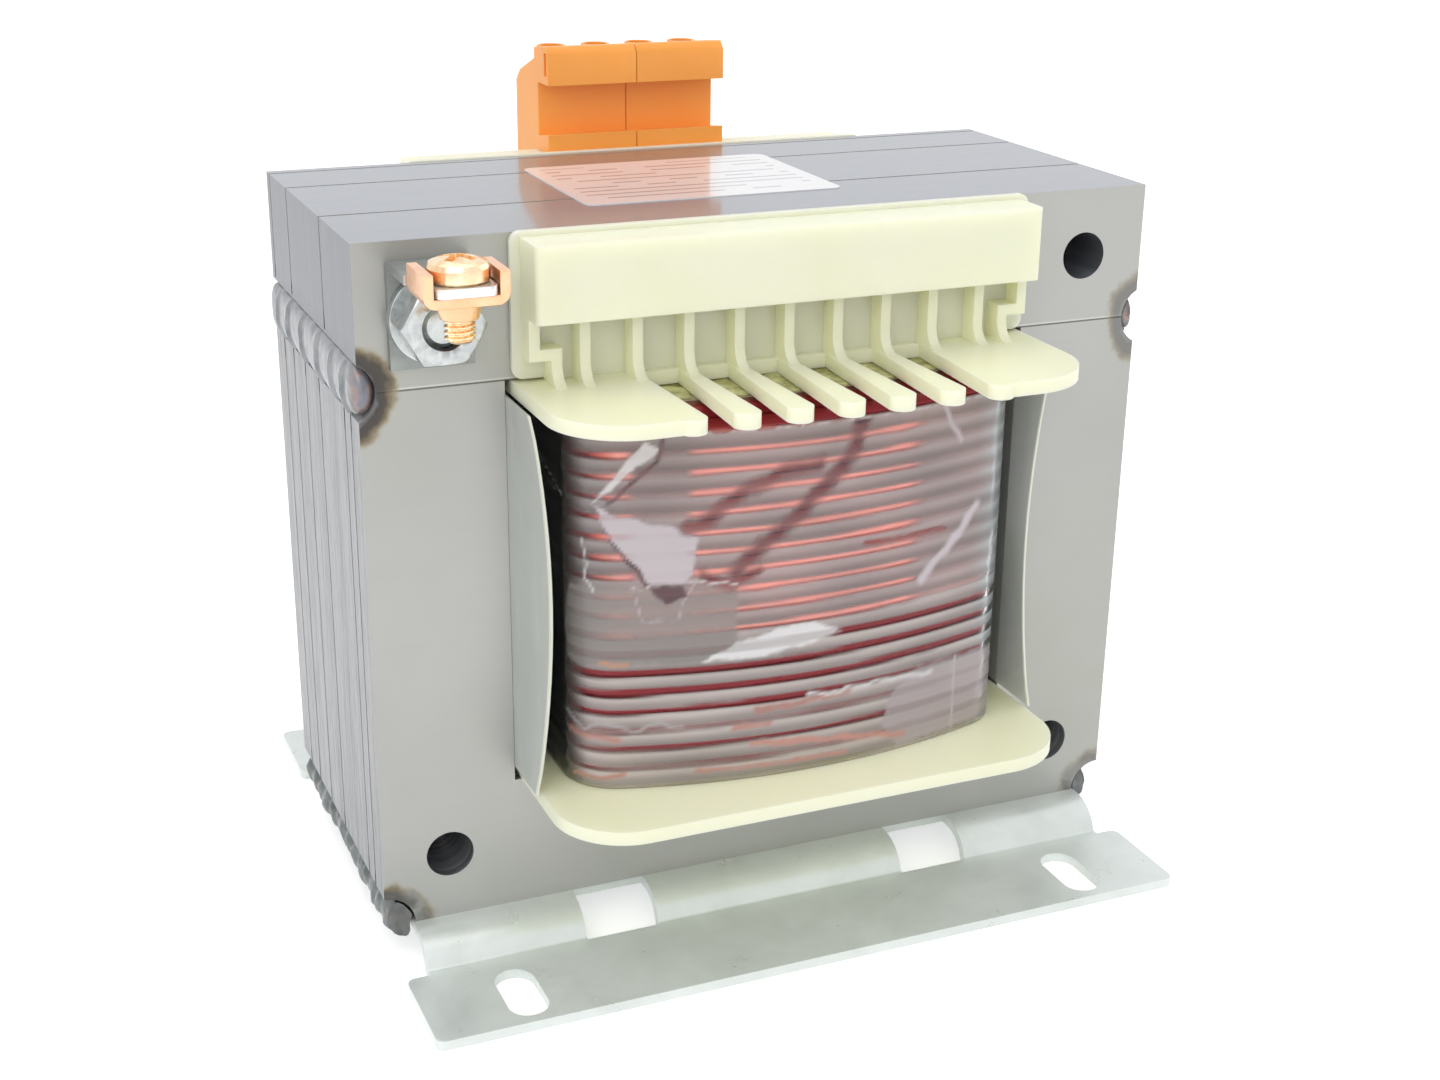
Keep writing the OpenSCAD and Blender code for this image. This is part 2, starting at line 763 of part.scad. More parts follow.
module film_wrap() {
    color("lightgray", 0.4) coil_layer(coil_z + skin, coil_top_z - film_stop, skin + film_t, skin);
}

// ---------- Insulating sheets ----------

board_rows = 16;
board_x = centre_leg_w / 2 + window_w - skin;

// How far the sheet leans in, at height share v and at distance t past the core face
function lean(v, t) = board_lean * pow(sin(180 * v), 0.8) * t / board_reach;

// Ring of points round the sheet at height share v, from front to rear and back
function board_ring(v) = let(
    z = coil_z + skin + v * (coil_top_z - coil_z - 2 * skin),
    stations = [-board_reach, -board_reach / 2, 0, stack_d, stack_d + board_reach / 2,
        stack_d + board_reach],
    out = [for (s = stations)
        [board_x - lean(v, max(-s, s - stack_d, 0)), s - face_y, z]])
    concat(out, [for (i = [len(out) - 1:-1:0]) out[i] - [board_t, 0, 0]]);

module insulating_sheet() {
    points = [for (k = [0:board_rows]) each board_ring(k / board_rows)];
    n = len(board_ring(0));
    top = board_rows * n;
    faces = concat(
        [for (i = [0:n / 2 - 2]) [i, i + 1, n - 2 - i, n - 1 - i]],
        [for (k = [0:board_rows - 1], i = [0:n - 1], half = [0, 1])
            half == 0
            ? [k * n + i, (k + 1) * n + i, (k + 1) * n + (i + 1) % n]
            : [k * n + i, (k + 1) * n + (i + 1) % n, k * n + (i + 1) % n]],
        [for (i = [0:n / 2 - 2]) [top + n - 1 - i, top + n - 2 - i, top + i + 1, top + i]]);
    polyhedron(points, faces);
}

module insulating_sheet_right() { color("honeydew") insulating_sheet(); }
module insulating_sheet_left() { color("honeydew") mirror([1, 0, 0]) insulating_sheet(); }

// ---------- Terminal blocks ----------

// Side view of a block in Y and Z
module block_section() {
    y = block_y;
    z = block_z;
    top = block_top_z;
    polygon([[y, z], [y, z + lower_ledge_h], [y + groove_d, z + lower_ledge_h - ledge_fall],
        [y + groove_d, top - ledge_h], [y, top - ledge_h], [y, top - crest_bevel],
        [y + crest_bevel, top], [y + crest_d, top - crest_fall],
        [y + crest_d, top - crest_fall - crest_step],
        [y + block_d - back_bevel_d, top - back_fall],
        [y + block_d, top - back_fall - back_bevel_h], [y + block_d, block_low_z],
        [block_leg_y, block_low_z], [block_leg_y, z]]);
}

module block_pole_cuts() {
    // Screw tower's bore
    translate([0, screw_y, chamber_z])
        cylinder(d = terminal_screw_d + bore_play, h = block_top_z - chamber_z);
    // Chamber of the clamp
    translate([-chamber_w / 2, screw_y - chamber_d / 2, chamber_z])
        cube([chamber_w, chamber_d, chamber_h]);
    // Wire entry from the rear
    translate([-entry_w / 2, screw_y, chamber_z + entry_lift])
        cube([entry_w, block_d, entry_h]);
    // Way down for the contact
    translate([-contact_w / 2 - skin, screw_y - contact_t / 2 - skin, block_low_z - 1])
        cube([contact_w + 2 * skin, contact_t + 2 * skin, block_h + 2]);
}

module terminal_block(x) {
    translate([x, 0, 0]) difference() {
        union() {
            along_x(block_w) block_section();
            for (p = [-0.5, 0.5])
                translate([p * pole_pitch, screw_y, block_top_z - back_fall - tower_root])
                    cylinder(d = tower_d, h = tower_top_z - block_top_z + back_fall + tower_root);
        }
        for (p = [-0.5, 0.5]) translate([p * pole_pitch, 0, 0]) block_pole_cuts();
        // Latch pockets in the end faces
        both_sides() translate([block_w / 2 - pocket_depth, block_y + pocket_in,
            block_top_z - pocket_h - pocket_depth])
            cube([2 * pocket_depth, pocket_w, pocket_h]);
    }
}

module terminal_block_left() { color("orange") terminal_block(-pole_pitch); }
module terminal_block_right() { color("orange") terminal_block(pole_pitch); }

module at_poles() {
    for (i = [-1.5:1:1.5]) translate([i * pole_pitch, screw_y, 0]) children();
}

// Square cage that the screw lifts against the contact
module terminal_clamps() {
    w = chamber_w - 2 * wall_gap;
    d = chamber_d - 2 * wall_gap;
    h = chamber_h - 2 * wall_gap;
    color("silver") at_poles() translate([0, 0, chamber_z + wall_gap]) difference() {
        translate([-w / 2, -d / 2, 0]) cube([w, d, h]);
        translate([-w / 2 + cage_wall, -d, cage_floor])
            cube([w - 2 * cage_wall, 2 * d, h - cage_floor - cage_roof]);
        cylinder(d = terminal_screw_d + thread_gap, h = h + 1);
        translate([-contact_w / 2 - skin, -contact_t / 2 - skin, -cage_floor])
            cube([contact_w + 2 * skin, contact_t + 2 * skin, 3 * cage_floor]);
    }
}

// Screws stand on the contacts and fill the towers' bores
module terminal_screws() {
    color("silver") at_poles() difference() {
        translate([0, 0, screw_seat_z])
            cylinder(d = terminal_screw_d, h = screw_top_z - screw_seat_z);
        translate([-terminal_screw_d, -screw_slot_w / 2, screw_top_z - screw_slot_h])
            cube([2 * terminal_screw_d, screw_slot_w, 2 * screw_slot_h]);
    }
}

// A strip from inside the cage down to a solder tail under the block
module terminal_contacts() {
    low_z = block_low_z - contact_tail;
    high_z = screw_seat_z - skin;
    color("gold") at_poles()
        translate([-contact_w / 2, -contact_t / 2, low_z])
            cube([contact_w, contact_t, high_z - low_z]);
}

// ---------- Leads ----------

// A lead rises from the coil at start_y, steps across to a contact and ends under its tail
module lead(x, start_y, start_z, turn_z, d) {
    tail_z = block_low_z - contact_tail - skin;
    translate([x, start_y, start_z]) cylinder(d = d, h = turn_z - start_z);
    for (y = [start_y, screw_y]) translate([x, y, turn_z]) sphere(d = d);
    translate([x, min(start_y, screw_y), turn_z]) rotate([-90, 0, 0])
        cylinder(d = d, h = abs(screw_y - start_y));
    translate([x, screw_y, turn_z]) cylinder(d = d, h = tail_z - turn_z);
}

// Thick leads of the secondary's own wire, from between its two layers
module secondary_leads() {
    color("indianred") for (i = [0.5, 1.5])
        lead(i * pole_pitch, coil_front_y - wire_d, winding_top_z + skin, lead_turn_z,
            secondary_lead_d);
}

// Sleeved leads of the primary, through its end tape
module primary_leads() {
    start_y = (tube_y + coil_front_y - layers * wire_d) / 2;
    color("palegoldenrod") for (i = [-1.5, -0.5])
        lead(i * pole_pitch, start_y, winding_top_z + end_tape_t + 2 * skin, lead_turn_z,
            primary_lead_d);
}

// ---------- Earth terminal ----------

module hexagon(af) {
    circle(d = af / cos(30), $fn = 6);
}

// Draws its child on the earth bolt's axis, from out in front of the core face towards it
module on_earth_axis(out) {
    translate([earth_x, -face_y - out, hole_high_z]) rotate([-90, 0, 0]) children();
}

module earth_bolt() {
    shank = stack_d + bolt_extra;
    color("silver") on_earth_axis(bolt_extra) {
        cylinder(d = bolt_d, h = shank + eps);
        translate([0, 0, shank]) linear_extrude(height = bolt_head_h) hexagon(bolt_af);
    }
}

module earth_washer() {
    color("silver") on_earth_axis(earth_t + washer_t) difference() {
        cylinder(d = washer_d, h = washer_t);
        translate([0, 0, -1]) cylinder(d = bolt_d + hole_play, h = washer_t + 2);
    }
}

module earth_nut() {
    color("silver") on_earth_axis(earth_t + washer_t + nut_h) intersection() {
        difference() {
            linear_extrude(height = nut_h) hexagon(bolt_af);
            translate([0, 0, -1]) cylinder(d = bolt_d + thread_gap, h = nut_h + 2);
        }
        // Chamfered corners on the outer face
        cylinder(d1 = bolt_af * 0.95, d2 = bolt_af * 0.95 + 4 * nut_h, h = nut_h);
    }
}

// A sheet bent over at the top into a tongue that narrows where the clamp sits
module earth_bracket() {
    leg_z = earth_top_z - earth_h;
    color("silver") difference() {
        intersection() {
            translate([earth_x, 0, 0]) mirror([0, 1, 0]) along_x(earth_w) {
                translate([face_y, leg_z])
                    square([earth_t, earth_h - earth_t - earth_bend_r]);
                translate([face_y + earth_t + earth_bend_r, earth_top_z - earth_t - earth_bend_r])
                    ring_sector(earth_bend_r, earth_bend_r + earth_t, 90, 180);
                translate([face_y + earth_t + earth_bend_r, earth_top_z - earth_t])
                    square([tongue_out - earth_t - earth_bend_r, earth_t]);
            }
            translate([earth_x, 0, leg_z - 1]) linear_extrude(height = earth_h + 2) {
                translate([-earth_w / 2, -shoulder_y]) square([earth_w, shoulder_y]);
                translate([0, -(face_y + tongue_out) / 2])
                    rounded_square(tongue_w, face_y + tongue_out, tongue_corner_r);
            }
        }
        on_earth_axis(earth_t + 1) cylinder(d = bolt_d + hole_play, h = earth_t + 2);
        translate([earth_x, -clamp_y, earth_top_z - earth_t - 1])
            cylinder(d = clamp_screw_d + hole_play, h = earth_t + 2);
    }
}

// Copper stirrup under the tongue, with its arms up beside it and a threaded collar
module earth_clamp() {
    corner_r = clamp_corner_r;
    low_z = clamp_floor_z - clamp_t;
    color("sandybrown") translate([earth_x, -clamp_y, 0]) difference() {
        union() {
            rotate([90, 0, 0]) linear_extrude(height = clamp_d, center = true) difference() {
                union() {
                    translate([-clamp_x, low_z + corner_r])
                        square([2 * clamp_x, clamp_top_z - low_z - corner_r]);
                    translate([-clamp_x + corner_r, low_z])
                        square([2 * (clamp_x - corner_r), corner_r]);
                    for (s = [-1, 1])
                        translate([s * (clamp_x - corner_r), low_z + corner_r])
                            circle(r = corner_r);
                }
                translate([-clamp_x + clamp_t, clamp_floor_z])
                    square([2 * (clamp_x - clamp_t), clamp_top_z]);
            }
            translate([0, 0, low_z - collar_h])
                cylinder(d1 = clamp_screw_d + collar_low_wall,
                    d2 = clamp_screw_d + collar_high_wall, h = collar_h);
        }
        translate([0, 0, low_z - collar_h - 1])
            cylinder(d = clamp_screw_d + thread_gap, h = collar_h + clamp_t + 2);
    }
}

// Pan-head screw with a cross recess
module clamp_screw() {
    head_r = clamp_head_d / 2;
    head_z = earth_top_z + skin;
    color("sandybrown") translate([earth_x, -clamp_y, head_z]) difference() {
        union() {
            intersection() {
                cylinder(r = head_r, h = clamp_head_h);
                translate([0, 0, clamp_head_h - head_dome_r]) sphere(r = head_dome_r);
                translate([0, 0, head_edge_z]) sphere(r = head_r + head_edge_r);
            }
            translate([0, 0, -clamp_screw_len])
                cylinder(d = clamp_screw_d, h = clamp_screw_len + eps);
        }
        translate([0, 0, clamp_head_h - recess_depth]) for (a = [45, 135]) rotate([0, 0, a])
            translate([-head_r * recess_share, -recess_w / 2, 0])
            cube([head_r * recess_share * 2, recess_w, 2 * recess_depth]);
    }
}

// ---------- Label ----------

module rating_label() {
    color("white") translate([-label_left, label_back, top_z]) linear_extrude(height = label_t)
        rounded_square(label_w, label_d, label_corner_r);
}

e_laminations();
i_laminations();
seam_weld_left();
seam_weld_right();
foot_weld_left();
foot_weld_right();
foot_bracket_front();
foot_bracket_rear();
bobbin();
primary_winding();
interwinding_insulation();
secondary_winding();
end_tape();
film_wrap();
insulating_sheet_left();
insulating_sheet_right();
terminal_block_left();
terminal_block_right();
terminal_clamps();
terminal_screws();
terminal_contacts();
primary_leads();
secondary_leads();
earth_bolt();
earth_bracket();
earth_washer();
earth_nut();
earth_clamp();
clamp_screw();
rating_label();
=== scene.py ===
"""Laminated chassis transformer: the finishes and fine pieces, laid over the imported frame.

The frame gives the construction. This script dresses its nodes, replaces the coil, the film, the
welds and the threaded parts with detailed ones, and sets the stage, the lights and the camera.
"""

import logging
import math
from collections.abc import Sequence
from dataclasses import dataclass, field
from enum import Enum
from functools import cached_property
from typing import Any
import bpy
from mathutils import Matrix, Vector, noise


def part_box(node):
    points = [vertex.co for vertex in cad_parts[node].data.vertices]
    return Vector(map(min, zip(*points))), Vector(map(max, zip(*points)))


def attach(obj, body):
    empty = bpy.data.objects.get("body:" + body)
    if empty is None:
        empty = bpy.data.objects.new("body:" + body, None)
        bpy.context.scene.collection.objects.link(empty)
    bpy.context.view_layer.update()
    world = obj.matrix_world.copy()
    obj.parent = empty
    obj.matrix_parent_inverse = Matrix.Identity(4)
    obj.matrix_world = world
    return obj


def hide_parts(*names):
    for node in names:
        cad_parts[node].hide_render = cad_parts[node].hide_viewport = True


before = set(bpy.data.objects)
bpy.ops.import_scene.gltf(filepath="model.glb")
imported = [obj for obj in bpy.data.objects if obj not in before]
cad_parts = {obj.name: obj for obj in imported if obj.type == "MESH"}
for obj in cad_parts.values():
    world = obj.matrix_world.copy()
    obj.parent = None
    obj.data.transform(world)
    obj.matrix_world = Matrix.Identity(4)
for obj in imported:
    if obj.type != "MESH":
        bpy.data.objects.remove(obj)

log = logging.getLogger("transformer")

BODY = "root"
MM = 0.001
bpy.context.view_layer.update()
# How much of a normal lies along an axis when the surface starts to face it, and when it does
FACING = (0.5, 0.8)

Colour = tuple[float, float, float]
Socket = bpy.types.NodeSocket
Point = tuple[float, float]


# Small helpers


def smooth_step(value: float, low: float, high: float) -> float:
    """Eases from 0 at low to 1 at high, which may be the smaller of the two."""
    t = min(1.0, max(0.0, (value - low) / (high - low)))
    return t * t * (3.0 - 2.0 * t)


def ripple(x: float, y: float, z: float = 0.0) -> float:
    """Smooth noise of about -1 to 1 at a point."""
    return noise.noise(Vector((x, y, z)))


def scaled(colour: Colour, factor: float) -> Colour:
    """A colour with each part multiplied."""
    return tuple(factor * part for part in colour)


def blended(a: Sequence[float], b: Sequence[float], share: float) -> list[float]:
    """Goes from one colour to another by a share."""
    return [low + (high - low) * share for low, high in zip(a, b)]


def configured(thing: Any, **settings: object) -> Any:
    """Sets properties of a node, a modifier or a datablock.

    Args:
        thing: What they belong to.
        settings: Names and values.

    Returns:
        The same thing.
    """
    for key, value in settings.items():
        setattr(thing, key, value)
    return thing


def modify(piece: bpy.types.Object, kind: str, **settings: object) -> None:
    """Adds a modifier and sets its properties."""
    configured(piece.modifiers.new(kind.lower(), kind), **settings)


def show(thing: bpy.types.Object) -> None:
    """Links an object to the scene."""
    bpy.context.scene.collection.objects.link(thing)


def new_object(name: str, vertices: Sequence[Sequence[float]],
               faces: Sequence[Sequence[int]], smooth: bool = True) -> bpy.types.Object:
    """Makes a mesh object from points in metres.

    Args:
        name: The piece's name.
        vertices: Points in the row frame.
        faces: Indices of each face's points.
        smooth: Whether the faces shade smoothly.

    Returns:
        The new object, linked to the scene.
    """
    mesh = bpy.data.meshes.new(name)
    mesh.from_pydata([tuple(v) for v in vertices], [], [tuple(f) for f in faces])
    mesh.update()
    mesh.polygons.foreach_set("use_smooth", [smooth] * len(mesh.polygons))
    piece = bpy.data.objects.new(name, mesh)
    show(piece)
    return piece


def ring_faces(rows: int, columns: int, joined: bool = False) -> list[list[int]]:
    """Faces between closed rings of points.

    Args:
        rows: Number of rings.
        columns: Points in each ring.
        joined: Whether the last ring joins the first.

    Returns:
        Four-sided faces.
    """
    return [[r * columns + c, r * columns + (c + 1) % columns,
             (r + 1) % rows * columns + (c + 1) % columns, (r + 1) % rows * columns + c]
            for r in range(rows if joined else rows - 1) for c in range(columns)]


def edge_distance(place: Point, outline: Sequence[Point], closed: bool) -> float:
    """Distance from a point to a broken line, negative inside a closed one.

    Args:
        place: The point.
        outline: Corners of the line.
        closed: Whether the last corner joins the first.

    Returns:
        The distance in the points' own unit.
    """
    x, y = place
    best = 1e9
    inside = False
    count = len(outline)
    for index in range(count if closed else count - 1):
        ax, ay = outline[index]
        bx, by = outline[(index + 1) % count]
        dx, dy = bx - ax, by - ay
        t = ((x - ax) * dx + (y - ay) * dy) / (dx * dx + dy * dy)
        t = min(1.0, max(0.0, t))
        best = min(best, math.hypot(x - ax - t * dx, y - ay - t * dy))
        if (ay > y) != (by > y) and x < ax + (y - ay) * dx / dy:
            inside = not inside
    return -best if closed and inside else best


class MeshPlan:
    """Gathers closed shells into one mesh."""

    def __init__(self) -> None:
        """Starts with no points."""
        self.vertices: list[Vector] = []
        self.faces: list[list[int]] = []

    def add(self, vertices: Sequence[Vector], faces: Sequence[Sequence[int]]) -> None:
        """Adds a shell.

        Args:
            vertices: Its points.
            faces: Its faces, counted from its own first point.
        """
        start = len(self.vertices)
        self.vertices.extend(vertices)
        self.faces.extend([[start + i for i in face] for face in faces])

    def sweep(self, rings: Sequence[Sequence[Vector]]) -> None:
        """Adds a skin through closed rings of points, with both ends closed.

        Args:
            rings: Rings with the same number of points each.
        """
        count, last = len(rings[0]), (len(rings) - 1) * len(rings[0])
        ends = [list(range(count))[::-1], list(range(last, last + count))]
        self.add([p for ring in rings for p in ring], ring_faces(len(rings), count) + ends)

    def lathe(self, place: Vector, axis: Vector, outline: Sequence[Point], segments: int,
              pitch_mm: float, groove_mm: float, thread: Point) -> None:
        """Turns an outline round an axis and cuts a thread in it.

        Args:
            place: Where the axis starts.
            axis: Its direction.
            outline: Heights and radii in mm, from one end on the axis to the other.
            segments: Points round the axis.
            pitch_mm: Pitch of the thread.
            groove_mm: Depth of the thread.
            thread: Heights in mm between which the thread runs.
        """
        side = axis.orthogonal().normalized()
        other = axis.cross(side).normalized()
        rings = []
        for height, radius in outline:
            ring = []
            for k in range(segments):
                turn = k / segments
                angle = 2 * math.pi * turn
                cut = 0.0
                if thread[0] <= height <= thread[1]:
                    phase = (height / pitch_mm - turn) % 1.0
                    cut = groove_mm * min(1.0, max(0.0, 2.3 * abs(phase - 0.5) * 2 - 0.65))
                    cut *= smooth_step(height, thread[0], thread[0] + 0.5 * pitch_mm)
                r = max(0.01, radius - cut)
                ring.append(place + (height * axis + r * (math.cos(angle) * side
                                                          + math.sin(angle) * other)) * MM)
            rings.append(ring)
        self.sweep(rings)

    def build(self, name: str, crisp_deg: float = 180.0) -> bpy.types.Object:
        """Makes the object.

        Args:
            name: Its name.
            crisp_deg: Angle above which its edges stay crisp.

        Returns:
            The object.
        """
        piece = new_object(name, self.vertices, self.faces)
        if crisp_deg < 180.0:
            piece.data.set_sharp_from_angle(angle=math.radians(crisp_deg))
        return piece


def soften(piece: bpy.types.Object, width_mm: float) -> None:
    """Rounds the edges sharper than 50 degrees with modifiers, and leaves the mesh alone.

    Args:
        piece: The node's object.
        width_mm: Width of the rounding.
    """
    modify(piece, "WELD", merge_threshold=2e-6)
    modify(piece, "BEVEL", width=width_mm * MM, segments=2, limit_method="ANGLE",
           angle_limit=math.radians(50), use_clamp_overlap=True)
    modify(piece, "WEIGHTED_NORMAL", keep_sharp=False, weight=90)


# Finishes


class Tree:
    """A node tree, with short ways to add the usual nodes."""

    def __init__(self, owner: bpy.types.Material | bpy.types.World,
                 shader: str = "Principled BSDF") -> None:
        """Opens a tree.

        Args:
            owner: The material or world that it belongs to.
            shader: Name of the shader node that it starts with.
        """
        owner.use_nodes = True
        self.tree = owner.node_tree
        self.shader = self.tree.nodes[shader]

    @cached_property
    def place(self) -> Socket:
        """The place on the piece."""
        return self.node("ShaderNodeTexCoord").outputs["Object"]

    def node(self, kind: str, **settings: object) -> bpy.types.Node:
        """Adds a node and sets its properties."""
        return configured(self.tree.nodes.new(kind), **settings)

    def feed(self, socket: Socket, value: object) -> None:
        """Links a socket to another, or sets its value.

        Args:
            socket: The input.
            value: A socket, a plain value, or None to leave it alone.
        """
        if isinstance(value, bpy.types.NodeSocket):
            self.tree.links.new(value, socket)
        elif value is not None:
            if isinstance(value, tuple) and len(value) == 3 and socket.type == "RGBA":
                value = (*value, 1.0)
            socket.default_value = value

    def join(self, kind: str, *values: object, **settings: object) -> Socket:
        """Adds a node and feeds its inputs in their order.

        Args:
            kind: Kind of node.
            values: Values or sockets.
            settings: The node's properties.

        Returns:
            Its first output.
        """
        made = self.node(kind, **settings)
        for socket, value in zip(made.inputs, values):
            self.feed(socket, value)
        return made.outputs[0]

    def set(self, **values: object) -> None:
        """Sets or links the shader's sockets; underscores in names stand for spaces."""
        for key, value in values.items():
            self.feed(self.shader.inputs[key.replace("_", " ")], value)

    def math(self, operation: str, *values: object) -> Socket:
        """Does one sum with up to three values."""
        return self.join("ShaderNodeMath", *values, operation=operation)

    def times(self, a: object, b: object, plus: object = None) -> Socket:
        """Multiplies two values, and adds a third where there is one."""
        return self.math("MULTIPLY" if plus is None else "MULTIPLY_ADD", a, b, plus)

    def off(self, value: object, middle: object) -> Socket:
        """How far a value lies from another."""
        return self.math("ABSOLUTE", self.math("SUBTRACT", value, middle))

    def axes(self, vector: Socket | None = None) -> tuple[Socket, Socket, Socket]:
        """Splits a vector into X, Y and Z.

        Args:
            vector: What to split; where there is none, it is the place.

        Returns:
            Its three parts.
        """
        made = self.node("ShaderNodeSeparateXYZ")
        self.feed(made.inputs[0], vector or self.place)
        return made.outputs[0], made.outputs[1], made.outputs[2]

    def noise(self, scale: float, detail: float = 2.0, rough: float = 0.5,
              stretch: Sequence[float] | None = None, distort: float = 0.0) -> Socket:
        """Adds noise.

        Args:
            scale: Features in each metre.
            detail: Octaves.
            rough: Strength of the finer octaves.
            stretch: Scale of each axis.
            distort: How far it is bent.

        Returns:
            A value of 0 to 1.
        """
        place = self.place
        if stretch:
            mapping = self.node("ShaderNodeMapping")
            self.feed(mapping.inputs["Vector"], place)
            self.feed(mapping.inputs["Scale"], stretch)
            place = mapping.outputs[0]
        made = self.node("ShaderNodeTexNoise")
        for key, value in (("Vector", place), ("Scale", scale), ("Detail", detail),
                           ("Roughness", rough), ("Distortion", distort)):
            self.feed(made.inputs[key], value)
        return made.outputs["Fac"]

    def ramp(self, value: Socket, *stops: tuple[float, Colour]) -> Socket:
        """Adds a colour ramp.

        Args:
            value: What drives it.
            stops: Places with a colour.

        Returns:
            Its colour.
        """
        made = self.node("ShaderNodeValToRGB")
        self.feed(made.inputs[0], value)
        while len(made.color_ramp.elements) < len(stops):
            made.color_ramp.elements.new(0.5)
        for element, (place, colour) in zip(made.color_ramp.elements, stops):
            element.position = place
            element.color = (*colour, 1.0)
        return made.outputs[0]

    def span(self, value: Socket, low: float, high: float,
             to_low: float = 0.0, to_high: float = 1.0) -> Socket:
        """Maps a range to another, held at its ends."""
        return self.join("ShaderNodeMapRange", value, low, high, to_low, to_high,
                         interpolation_type="SMOOTHSTEP")

    def mix(self, share: object, a: object, b: object) -> Socket:
        """Mixes two colours.

        Args:
            share: Share of the second.
            a: The first.
            b: The second.

        Returns:
            The mixed colour.
        """
        made = self.node("ShaderNodeMix", data_type="RGBA")
        for index, value in ((0, share), (6, a), (7, b)):
            self.feed(made.inputs[index], value)
        return made.outputs[2]

    def facing(self, axis: int) -> Socket:
        """1 where the surface faces along an axis either way, 0 where it doesn't."""
        normal = self.node("ShaderNodeNewGeometry").outputs["Normal"]
        return self.span(self.math("ABSOLUTE", self.axes(normal)[axis]), *FACING)

    def bump(self, height: Socket, depth_mm: float, strength: float = 1.0,
             under: Socket | None = None) -> Socket:
        """Adds relief.

        Args:
            height: 0 to 1.
            depth_mm: Depth of the relief.
            strength: Share of it that shows.
            under: Relief below this one.

        Returns:
            The bent normal.
        """
        made = self.node("ShaderNodeBump")
        for key, value in (("Strength", strength), ("Distance", depth_mm * MM),
                           ("Height", height), ("Normal", under)):
            self.feed(made.inputs[key], value)
        return made.outputs[0]

    def seen(self) -> Socket:
        """Tells the rays that show the stage from those that light the part.

        Returns:
            1 for straight and mirrored rays and those through the film, 0 for the rest.
        """
        path = self.node("ShaderNodeLightPath").outputs
        mirrored = self.math("MAXIMUM", path["Is Camera Ray"], path["Is Glossy Ray"])
        return self.math("MAXIMUM", mirrored, path["Is Transmission Ray"])

    def finish(self, shader: Socket) -> None:
        """Makes a shader the surface."""
        self.feed(self.tree.nodes["Material Output"].inputs["Surface"], shader)


class Recipe:
    """A finish, which fills a material's tree."""

    def fill(self, t: Tree) -> None:
        """Fills the tree of a material."""
        raise NotImplementedError

    def build(self, name: str) -> bpy.types.Material:
        """Makes the material.

        Args:
            name: Its name.

        Returns:
            The material.
        """
        material = bpy.data.materials.new(name)
        self.fill(Tree(material))
        return material


